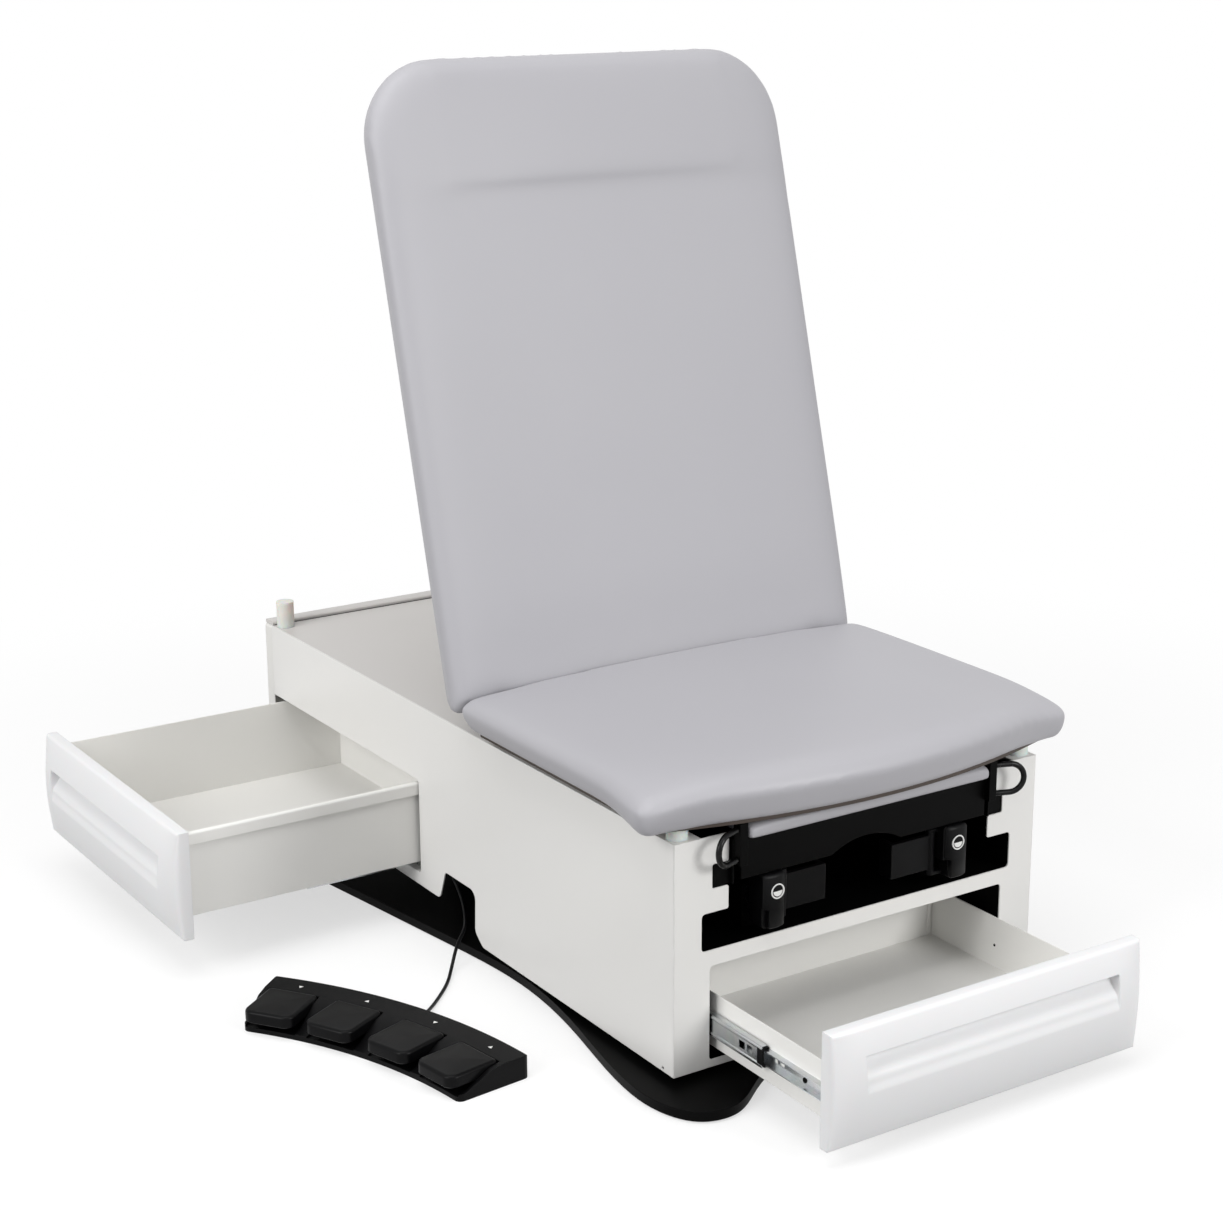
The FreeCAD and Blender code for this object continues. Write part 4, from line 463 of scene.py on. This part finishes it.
strip = across_deck(STRIP_PROFILE, -deck_half - STRIP_END, -deck_half, deck_half, deck_half + STRIP_END)
strip[0] = strip[0].mean(0)
strip[-1] = strip[-1].mean(0)
# The strip takes the deck's coat, with its painted shade.
skin("deck_rear_strip", [(strip, True)], "carriage", deck_shaded_coat, 25.0)
seal = np.stack([
    SEAL_MIDDLE - SEAL_HALF * np.cos(half_turn),
    SEAL_HEIGHT * np.sin(half_turn) - SEAL_SUNK,
], -1)
seal = closed(across_deck(seal, -deck_half, deck_half))
skin("deck_joint_seal", [(seal, True)], "carriage", rubber)

# Stirrup compartment: black steel channels behind the front panel, with a square guide for each stirrup arm.
# Its matt enamel swallows the light, so the opening reads as a plain dark recess.
matt_black = finish("matt_black_enamel", "020202", "030303", patch=90.0, roughness=(0.6, 0.7),
                    grain=1.6, depth=0.05, edge=1.0, Specular_IOR_Level=0.03)
dress(matt_black, "front_bay_walls", "stirrup_tray", "stirrup_sleeves")

# Stirrups: square steel arms with a moulded nylon head each, and a folding foot rest on a pin in the head.
# Glass-filled nylon has a faintly mottled black surface with a soft highlight.
black_nylon = finish("moulded_glass_filled_nylon", "040405", "070708", patch=25.0, roughness=(0.34, 0.44),
                     grain=1.2, depth=0.04, edge=2.0, Specular_IOR_Level=0.11)
for side in ("left", "right"):
    dress(black_nylon, side + "_stirrup_head", side + "_stirrup_foot")
    dress(turned_steel, side + "_stirrup_arm")

# Stirrup grips: a moulded cap over each head. Its front is a shallow ellipse with rounded ends, and its lower
# part steps in on one side. It narrows towards its front on the side where the foot rest swings past. Each
# level is a height and how far the outline is drawn in there.
# The round badges, a ring over a half disc, are moulded in the same white as the pedals' marks.
GRIP_HALF = 0.0207
GRIP_STEP, GRIP_STEP_HEIGHT = 0.009, 0.245
GRIP_FRONT, GRIP_REAR = -0.5785, -0.5495
GRIP_BOW, GRIP_BOW_HALF = 0.0065, 0.0225
GRIP_NARROWS = 0.25
GRIP_LEVELS = [
    (0.2155, 0.006), (0.2160, 0.002), (0.2178, 0.0), (0.2440, 0.0), (0.2465, 0.0),
    (0.2900, 0.0), (0.2940, 0.0015), (0.2958, 0.005), (0.2960, 0.010),
]
BADGE_SIDE, BADGE_FRONT, BADGE_HEIGHT = 0.002, -0.5848, 0.270
BADGE_RING = [
    (0.0, 0.0092), (0.0006, 0.0092), (0.0008, 0.0100), (0.0006, 0.0110),
    (-0.0015, 0.0112), (-0.0015, 0.0092), (0.0, 0.0092),
]
BADGE_HALF_DISC = [(0.0002, 0.0), (0.0004, 0.0040), (0.0004, 0.0075), (-0.0010, 0.0076), (-0.0010, 0.0)]
for side, sign in (("left", -1.0), ("right", 1.0)):
    body = side + "_stirrup"
    arm = box(side + "_stirrup_arm")[:, 0].mean()
    rows = []
    for height, inset in GRIP_LEVELS:
        low = inset - GRIP_HALF + (GRIP_STEP if height < GRIP_STEP_HEIGHT else 0.0)
        high = GRIP_HALF - inset
        x = (low + high) / 2 + (high - low) / 2 * np.sin(np.linspace(-1.0, 1.0, 25) * np.pi / 2)
        y = GRIP_FRONT + inset - GRIP_BOW * np.sqrt(np.maximum(1 - (x / GRIP_BOW_HALF) ** 2, 0.0))
        x = np.concatenate([x, [high, low]])
        y = np.concatenate([y, [GRIP_REAR, GRIP_REAR]])
        forward = np.clip((GRIP_REAR - y) / (GRIP_REAR - GRIP_FRONT + GRIP_BOW), 0.0, 1.0)
        x = x * (1 - GRIP_NARROWS * forward * (x * sign < 0))
        rows.append(np.column_stack([arm + x, y, np.full(len(x), height)]))
    skin(side + "_stirrup_grip", [(closed(np.array(rows)), True)], body, black_nylon, 50.0)
    spot = (arm + BADGE_SIDE, BADGE_FRONT, BADGE_HEIGHT)
    ahead = (0, -1, 0)
    turned(side + "_badge_ring", BADGE_RING, spot, ahead, body, white_nylon)
    turned(side + "_badge_half", BADGE_HALF_DISC, spot, ahead, body, white_nylon, half=True)

# Drawer slides: three nested members of rolled and zinc-plated strip, screwed to the cabinet and the drawers.
# The clear passivated zinc is a soft bright metal with faint rainbow patches about two centimetres wide.
FILM_SHARE = 0.1
zinc = finish("passivated_zinc", "D2D5D6", "C2C6C7", patch=30.0, roughness=(0.2, 0.28),
              grain=1.0, depth=0.004, edge=0.4, Metallic=1.0)
tree = zinc.node_tree
place = tree.nodes["Texture Coordinate"].outputs["Object"]
film = add(tree, "TexNoise", {"Vector": place, "Scale": 55.0, "Detail": 1.0, "Distortion": 0.8})
vivid = add(tree, "HueSaturation", {"Saturation": 0.7, "Value": 1.3, "Color": film.outputs["Color"]})
metal = tree.nodes["Mix"].outputs[2]
sheen = add(tree, "Mix", {0: FILM_SHARE, 6: metal, 7: vivid.outputs[0]}, data_type="RGBA")
tree.links.new(sheen.outputs[2], tree.nodes["Principled BSDF"].inputs["Base Color"])
dress(zinc, "front_slide_outer", "front_slide_middle", "front_slide_inner")
dress(zinc, "side_slide_outer", "side_slide_middle", "side_slide_inner")

# Ball races of the front slides: a rolled bead along each edge of the middle member, drawn as half an ellipse
# along the member's length. A black retainer, a strip bent to a C, clips round the member's front end, and a
# black screw with a socket holds the inner member to the drawer.
RACE_OFFSET, RACE_SUNK = 0.0120, 0.0003
RACE_SWELL, RACE_HALF = 0.0014, 0.0027
CLIP_ROUTE = np.array([
    (0.0133, 0.0126), (0.0060, 0.0126), (0.0036, 0.0100),
    (0.0036, -0.0100), (0.0060, -0.0126), (0.0133, -0.0126),
])
CLIP_HALF, CLIP_AHEAD, CLIP_BEHIND = 0.0016, -0.0030, 0.0090
SCREW_PROUD, SCREW_Y, SCREW_DROP = 0.0014, -0.767, 0.001
SCREW_PROFILE = [
    (0.0, 0.0), (0.0, 0.0040), (0.0012, 0.0038), (0.0020, 0.0026),
    (0.0022, 0.0012), (0.0012, 0.0011), (0.0012, 0.0),
]
middle_low, middle_high = box("front_slide_middle")
slide_height = (middle_low[2] + middle_high[2]) / 2
slide_wall = box("front_slide_outer")[1, 0]
drawer_low, drawer_high = box("front_drawer_box")
lead = np.gradient(CLIP_ROUTE, axis=0)
lead /= np.linalg.norm(lead, axis=1, keepdims=True)
beside = np.stack([-lead[:, 1], lead[:, 0]], -1) * CLIP_HALF
for side, sign in (("left", -1.0), ("right", 1.0)):
    for edge, offset in (("upper", RACE_OFFSET), ("lower", -RACE_OFFSET)):
        x = sign * (middle_high[0] - RACE_SUNK + RACE_SWELL * np.sin(half_turn))
        z = slide_height + offset - RACE_HALF * np.cos(half_turn)
        bead = [np.stack([x, np.full_like(x, y), z], -1) for y in (middle_low[1], middle_high[1])]
        bead = closed(np.stack(bead))
        skin("%s_%s_ball_race" % (side, edge), [(bead, True)], "front_slides", zinc)
    loops = []
    for face, depth in ((1, CLIP_AHEAD), (1, CLIP_BEHIND), (-1, CLIP_BEHIND), (-1, CLIP_AHEAD)):
        inward, up = (CLIP_ROUTE + face * beside).T
        y = np.full(len(up), middle_low[1] + depth)
        loops.append(np.column_stack([sign * (slide_wall - inward), y, slide_height + up]))
    clip = closed(np.stack(loops, 1))
    skin(side + "_slide_retainer", [(clip, True)], "front_slides", black_abs, 30.0)
    spot = (sign * (drawer_high[0] + SCREW_PROUD), SCREW_Y, slide_height - SCREW_DROP)
    turned(side + "_slide_screw", SCREW_PROFILE, spot, (sign, 0, 0), "front_drawer", black_coat)

# Drawer boxes: welded sheet steel, open at the top, screwed to the slides' inner members.
# Stoved enamel is a warm white with a fine even peel, duller than the cabinet's coat.
enamel = finish("stoved_white_enamel", "ECEBE8", "E8E7E3", patch=180.0, roughness=(0.34, 0.42),
                grain=2.4, depth=0.012, edge=1.0, Specular_IOR_Level=0.35)
dress(enamel, "front_drawer_box", "side_drawer_box")

# Weld and hole of the front drawer: a fillet weld runs up the rear right corner, half an ellipse along a
# straight line that dies out at both ends, and a small hole in the right wall is drawn as a small black dish
# of painted shade, standing in for the dark seen through the hole.
BOX_SHEET = 0.0015
WELD_TOP_GAP = 0.0002
WELD_HALF, WELD_SWELL, WELD_ENDS = 0.0045, 0.0024, 0.2
HOLE_Y, HOLE_Z = -0.580, 0.088
HOLE_SHADE_PROFILE = [
    (0.0002, 0.0), (0.0002, 0.0014), (0.0006, 0.0018),
    (0.0, 0.0022), (-0.0003, 0.0022), (-0.0003, 0.0),
]
wall_right, wall_rear = drawer_high[:2] - BOX_SHEET
weld_low, weld_high = drawer_low[2] + BOX_SHEET, drawer_high[2] - WELD_TOP_GAP
climb, swell = np.meshgrid(np.linspace(0.0, 1.0, 24), half_turn, indexing="ij")
weld = closed(np.stack([
    wall_right - WELD_HALF - WELD_HALF * np.cos(swell),
    wall_rear - WELD_SWELL * np.sin(swell) * np.sin(climb * np.pi) ** WELD_ENDS,
    weld_low + (weld_high - weld_low) * climb,
], -1))
skin("drawer_corner_weld", [(weld, True)], "front_drawer", enamel)
# The black dish is painted shade for the hole's dark inside.
spot = (wall_right, HOLE_Y, HOLE_Z)
turned("drawer_wall_hole_shade", HOLE_SHADE_PROFILE, spot, (-1, 0, 0), "front_drawer", black_coat)

# Drawer fronts: thick vacuum-formed white ABS with a bowed face and a scooped finger grip, screwed to the
# boxes. A grip is given as its half width and its lowest and highest point over the floor.
FRONT_GRIP = (0.220, 0.102, 0.153)
SIDE_GRIP = (0.225, 0.140, 0.194)
FACE_RIM, FACE_SWELL, FACE_END = 0.0180, 0.0165, 0.055
FACE_EDGE = 0.0045
GRIP_FLOOR = 0.013
GRIP_RISE, GRIP_RISE_SHARE = (0.08, 0.70), 0.84
GRIP_RUN_OUT = (0.72, 1.02)
GRIP_SIDE_EDGE, GRIP_TOP_EDGE = (-0.0010, 0.0018), (-0.0008, 0.0014)
NEAR_EDGE = 0.0007 * np.array([-7, -5, -3.6, -2.5, -1.6, -0.8, 0, 0.8, 1.6, 2.5, 3.6, 5, 7])


def lines(low, high, count, *edges):
    """Grid lines from low to high, closer together round each edge."""
    places = np.concatenate([np.linspace(low, high, count)] + [edge + NEAR_EDGE for edge in edges])
    return np.unique(np.round(places[(places >= low) & (places <= high)], 6))


def step(value, start, end):
    """Smooth rise from 0 at start to 1 at end."""
    share = np.clip((value - start) / (end - start), 0.0, 1.0)
    return share * share * (3 - 2 * share)


def drawer_front(half, low, high, grip_half, grip_low, grip_high):
    """Outer and inner side of a moulded drawer front, as arrays of across, out and up. The outside swells on
    a parabola from the bottom to the top edge, falls away on a quarter ellipse at its ends, and has its rim
    rounded on a quarter circle. The grip is deepest under its upper edge, and its floor swells
    out in an S until it meets the outside at the grip's lower edge."""
    across, up = np.meshgrid(
        lines(-half, half, 60, -half, half, -grip_half, grip_half),
        lines(low, high, 70, low, high, grip_low, grip_high),
    )
    inward = half - np.abs(across)
    level = (2 * up - low - high) / (high - low)
    ahead = np.clip(inward / FACE_END, 0.0, 1.0)
    outside = FACE_RIM + FACE_SWELL * (1 - level ** 2) * np.sqrt(1 - (1 - ahead) ** 2)
    inward = np.minimum(inward, np.minimum(up - low, high - up))
    short = np.maximum(FACE_EDGE - inward, 0.0)
    outside -= FACE_EDGE - np.sqrt(np.maximum(FACE_EDGE ** 2 - short ** 2, 0.0))
    fall = (grip_high - up) / (grip_high - grip_low)
    swell = GRIP_RISE_SHARE * step(fall, *GRIP_RISE) + (1 - GRIP_RISE_SHARE) * step(fall, *GRIP_RUN_OUT)
    floor = GRIP_FLOOR + (outside - GRIP_FLOOR) * swell
    inside = step(grip_half - np.abs(across), *GRIP_SIDE_EDGE) * step(grip_high - up, *GRIP_TOP_EDGE)
    inside *= fall <= GRIP_RUN_OUT[1]
    face = np.stack([across, outside + (floor - outside) * inside, up], -1)
    rear = np.stack([across, 0 * across, up], -1)
    edge = [np.concatenate([g[0], g[1:, -1], g[-1, -2::-1], g[-2:0:-1, 0]]) for g in (face, rear)]
    return [(face, False), (rear, False), (np.array(edge), True)]


# Satin ABS is smooth and milky: a broad soft highlight over a white that lets a trace of light in.
drawer_abs = finish("satin_white_abs", "E2E2E3", "DFDFE0", patch=200.0, roughness=(0.32, 0.38),
                    grain=1.8, depth=0.008, edge=0.8, Subsurface_Weight=0.04, Specular_IOR_Level=0.28)
face_low, face_high = box("front_drawer_face")
grids = drawer_front(face_high[0], face_low[2], face_high[2], *FRONT_GRIP)
grids = [(np.stack([g[..., 0], face_high[1] - g[..., 1], g[..., 2]], -1), w) for g, w in grids]
front_face = skin("front_drawer_front", grids, "front_drawer", drawer_abs, 50.0)
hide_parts("front_drawer_face")
face_low, face_high = box("side_drawer_face")
middle = (face_low[1] + face_high[1]) / 2
grids = drawer_front(face_high[1] - middle, face_low[2], face_high[2], *SIDE_GRIP)
grids = [(np.stack([face_high[0] - g[..., 1], middle - g[..., 0], g[..., 2]], -1), w) for g, w in grids]
side_face = skin("side_drawer_front", grids, "side_drawer", drawer_abs, 50.0)
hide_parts("side_drawer_face")

# Leg extension: a black steel tray on two runner bars in guide rails, with a bent steel handle at each front
# corner. The handles are dipped in vinyl, which leaves a thick smooth black skin with a clear highlight.
dipped = finish("dipped_black_vinyl", "040404", "070707", patch=30.0, roughness=(0.22, 0.32),
                grain=1.0, depth=0.015, edge=0.8, Specular_IOR_Level=0.18)
dress(black_coat, "leg_guide_rails", "leg_tray", "leg_runners")
dress(dipped, "left_pull_handle", "right_pull_handle")

# Frames and posts: black steel rails carry the boards of seat and back and are hinged on turned steel pins.
# Turned nylon posts stand at the cabinet's corners.
# Natural nylon is milky and lets a little light through.
nylon = finish("turned_natural_nylon", "E4E3DD", "DCDBD4", patch=40.0, roughness=(0.34, 0.44),
               grain=1.5, depth=0.01, edge=1.5, Subsurface_Weight=0.35)
dress(black_coat, "seat_frame", "back_frame")
dress(turned_steel, "hinge_pins")
dress(nylon, "support_posts")

# Boards under the cushions: plywood sealed with a dark brown stain, which leaves a dull surface with soft
# cloudy patches. They are screwed to the frames and carry the foam.
plywood = finish("sealed_plywood", "3B2F27", "2C241E", patch=60.0, roughness=(0.5, 0.65),
                 grain=2.0, depth=0.04, edge=0.8)
dress(plywood, "seat_board", "back_board")

# Back drive: a linear actuator in a moulded housing, held by two coated steel clamps below the deck. Its
# bright turned rod pulls the crank of the back.
dress(black_abs, "back_actuator")
dress(black_coat, "actuator_brackets")
dress(turned_steel, "actuator_rod")

# Upholstery: seamless vinyl drawn over moulded foam and fixed under the boards. The seat and the back meet at
# the hinge, and the leg extension has a thin pad of its own.
LEAN = math.radians(75.0)
HINGE = np.round(np.mean(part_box("hinge_pins"), axis=0), 6)
HINGE_STILL, HINGE_FREE = 0.03, 0.12
VOXEL = 0.006
EASE_TURNS = 4
HELD_HEIGHT = 0.005
PRESSURE = 4.0
CLOTH_FRAMES = 20
CLOTH_MASS = 0.3
CLOTH_QUALITY = 5
TAUT_TURNS = 160
ROUND_TURNS = 40
ROUND_FOOT, ROUND_TOP = 0.008, 0.036
ROUND_MIDDLE = 0.42
FLANK = (0.22, 0.32)
ENDS = (0.40, 0.46)
TIP_PLACE, TIP_WIDTH = (0.370, -0.566), 0.045
TIP_LEVEL, TIP_SPREAD = 0.25, 0.35
TIP_DROOP, TIP_DROOP_LEVEL = 0.6, 0.4
WRAP_HEIGHT = 0.022
WRAP_SIDE = (0.30, 0.36)

# The vinyl has a soft embossed leather grain about a millimetre wide, drawn at three millimetres so that it
# shows from the photograph's distance. It gives a broad dull sheen over an even cool grey.
vinyl = finish("soft_grain_vinyl", "AAA9AD", "A6A5AA", patch=320.0, roughness=(0.42, 0.52),
               grain=2.8, depth=0.045, edge=1.0, Sheen_Weight=0.04, Specular_IOR_Level=0.35)


def even_copy(name, node, lay):
    """New object with an even mesh of a foam block laid flat: welded, remeshed in voxels and eased."""
    mesh = nodes[node].data.copy()
    mesh.materials.clear()
    mesh.transform(lay)
    shape = bmesh.new()
    shape.from_mesh(mesh)
    bmesh.ops.remove_doubles(shape, verts=shape.verts, dist=JOIN_DISTANCE)
    shape.to_mesh(mesh)
    shape.free()
    piece = bpy.data.objects.new(name, mesh)
    scene.collection.objects.link(piece)
    voxels = piece.modifiers.new("voxels", "REMESH")
    voxels.mode = "VOXEL"
    voxels.voxel_size = VOXEL
    ease = piece.modifiers.new("ease", "SMOOTH")
    ease.factor = 0.5
    ease.iterations = EASE_TURNS
    even = bpy.data.meshes.new_from_object(piece.evaluated_get(bpy.context.evaluated_depsgraph_get()))
    piece.modifiers.clear()
    piece.data = even
    return piece


def blown_up(piece, start, held):
    """Points of a piece after cloth under pressure has swollen it from the start, with some points held."""
    piece.data.vertices.foreach_set("co", start.ravel())
    group = piece.vertex_groups.new(name="held")
    group.add(np.flatnonzero(held).tolist(), 1.0, "REPLACE")
    cloth = piece.modifiers.new("cloth", "CLOTH")
    cloth.settings.quality = CLOTH_QUALITY
    cloth.settings.mass = CLOTH_MASS
    cloth.settings.use_pressure = True
    cloth.settings.uniform_pressure_force = PRESSURE
    cloth.settings.effector_weights.gravity = 0.0
    cloth.settings.vertex_group_mass = "held"
    cloth.collision_settings.use_collision = False
    for number in range(1, CLOTH_FRAMES + 1):
        scene.frame_set(number)
    swollen = np.empty(start.size)
    piece.evaluated_get(bpy.context.evaluated_depsgraph_get()).data.vertices.foreach_get("co", swollen)
    piece.modifiers.clear()
    piece.vertex_groups.clear()
    scene.frame_set(1)
    return swollen.reshape(-1, 3)


def cushion(name, node, body, lean, wrap, thin, cap, tip=0.0):
    """Blown-up copy of a foam block. The block is remeshed lying flat and drawn in a little, then cloth under
    pressure swells it with its underside held on the board. Only the swelling outwards counts, up to the
    cap and not beside the hinge. Each point's swelling is averaged with its neighbours' many times over, as
    a taut cover does. The heights are averaged in the same way, which rounds the shoulders; the middle takes
    less of it, and the middle of the hinge none. The front corners are drawn out by the tip, on a bell
    curve, and the cover is drawn down over the board's front and rear edges by the wrap."""
    lay = Matrix.Translation(HINGE) @ Matrix.Rotation(-lean, 4, "X") @ Matrix.Translation(-HINGE)
    piece = even_copy(name, node, lay)
    even = piece.data
    count = len(even.vertices)
    full = np.empty(count * 3)
    even.vertices.foreach_get("co", full)
    full = full.reshape(-1, 3)
    normal = np.empty(count * 3, np.float32)
    even.vertex_normals.foreach_get("vector", normal)
    normal = normal.reshape(-1, 3)
    ends = np.empty(len(even.edges) * 2, np.int32)
    even.edges.foreach_get("vertices", ends)
    ends = np.concatenate([ends.reshape(-1, 2), ends.reshape(-1, 2)[:, ::-1]])
    near = np.bincount(ends[:, 0], minlength=count)

    def around(values):
        """Mean of the values of each point's neighbours."""
        return np.bincount(ends[:, 0], values[ends[:, 1]], count) / near

    board = full[:, 2].min()
    away = step(np.hypot(full[:, 1] - HINGE[1], full[:, 2] - HINGE[2]), HINGE_STILL, HINGE_FREE)
    held = full[:, 2] < board + HELD_HEIGHT
    swollen = blown_up(piece, full - normal * np.where(held, 0.0, thin)[:, None], held)
    rise = np.clip(np.sum((swollen - full) * normal, 1), 0.0, cap) * away
    for number in range(TAUT_TURNS):
        rise = (rise + around(rise)) / 2
    full += normal * rise[:, None]
    reach = np.abs(full[:, 0])
    flank = step(reach, *FLANK)
    along = np.abs(full[:, 1] - (full[:, 1].min() + full[:, 1].max()) / 2) / np.ptp(full[:, 1])
    soft = step(full[:, 2], board + ROUND_FOOT, board + ROUND_TOP) * np.maximum(away, flank)
    soft *= ROUND_MIDDLE + (1 - ROUND_MIDDLE) * np.maximum(flank, step(along, *ENDS))
    for number in range(ROUND_TURNS):
        full[:, 2] += soft * (around(full[:, 2]) - full[:, 2]) / 2
    apart = (reach - TIP_PLACE[0]) ** 2 + (full[:, 1] - TIP_PLACE[1]) ** 2
    corner = np.exp(-apart / (2 * TIP_WIDTH ** 2)) * (tip > 0)
    level = (full[:, 2] - board) / np.ptp(full[:, 2])
    pull = tip * corner * np.exp(-((level - TIP_LEVEL) / TIP_SPREAD) ** 2)
    full[:, 0] += np.sign(full[:, 0]) * pull
    full[:, 1] -= pull
    full[:, 2] -= tip * corner * (level + TIP_DROOP * (1 - step(level, 0.0, TIP_DROOP_LEVEL)))
    side = step(reach, *WRAP_SIDE) * (1 - corner)
    full[:, 2] -= wrap * (1 - side) * (1 - step(full[:, 2], board, board + WRAP_HEIGHT))
    even.vertices.foreach_set("co", full.ravel())
    even.transform(lay.inverted())
    even.update()
    even.materials.append(vinyl)
    even.polygons.foreach_set("use_smooth", np.ones(len(even.polygons), bool))
    taut = piece.modifiers.new("taut", "SMOOTH")
    taut.factor = 0.5
    taut.iterations = 3
    fine = piece.modifiers.new("fine", "SUBSURF")
    fine.levels = fine.render_levels = 1
    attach(piece, body)
    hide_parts(node)


cushion("seat_upholstery", "seat_cushion", "carriage", lean=0.0, wrap=0.0095, thin=0.002, cap=0.005,
        tip=0.010)
cushion("back_upholstery", "back_cushion", "back", lean=LEAN, wrap=0.0095, thin=0.002, cap=0.005)
cushion("leg_upholstery", "leg_pad", "leg_extension", lean=0.0, wrap=0.0, thin=0.0015, cap=0.003)
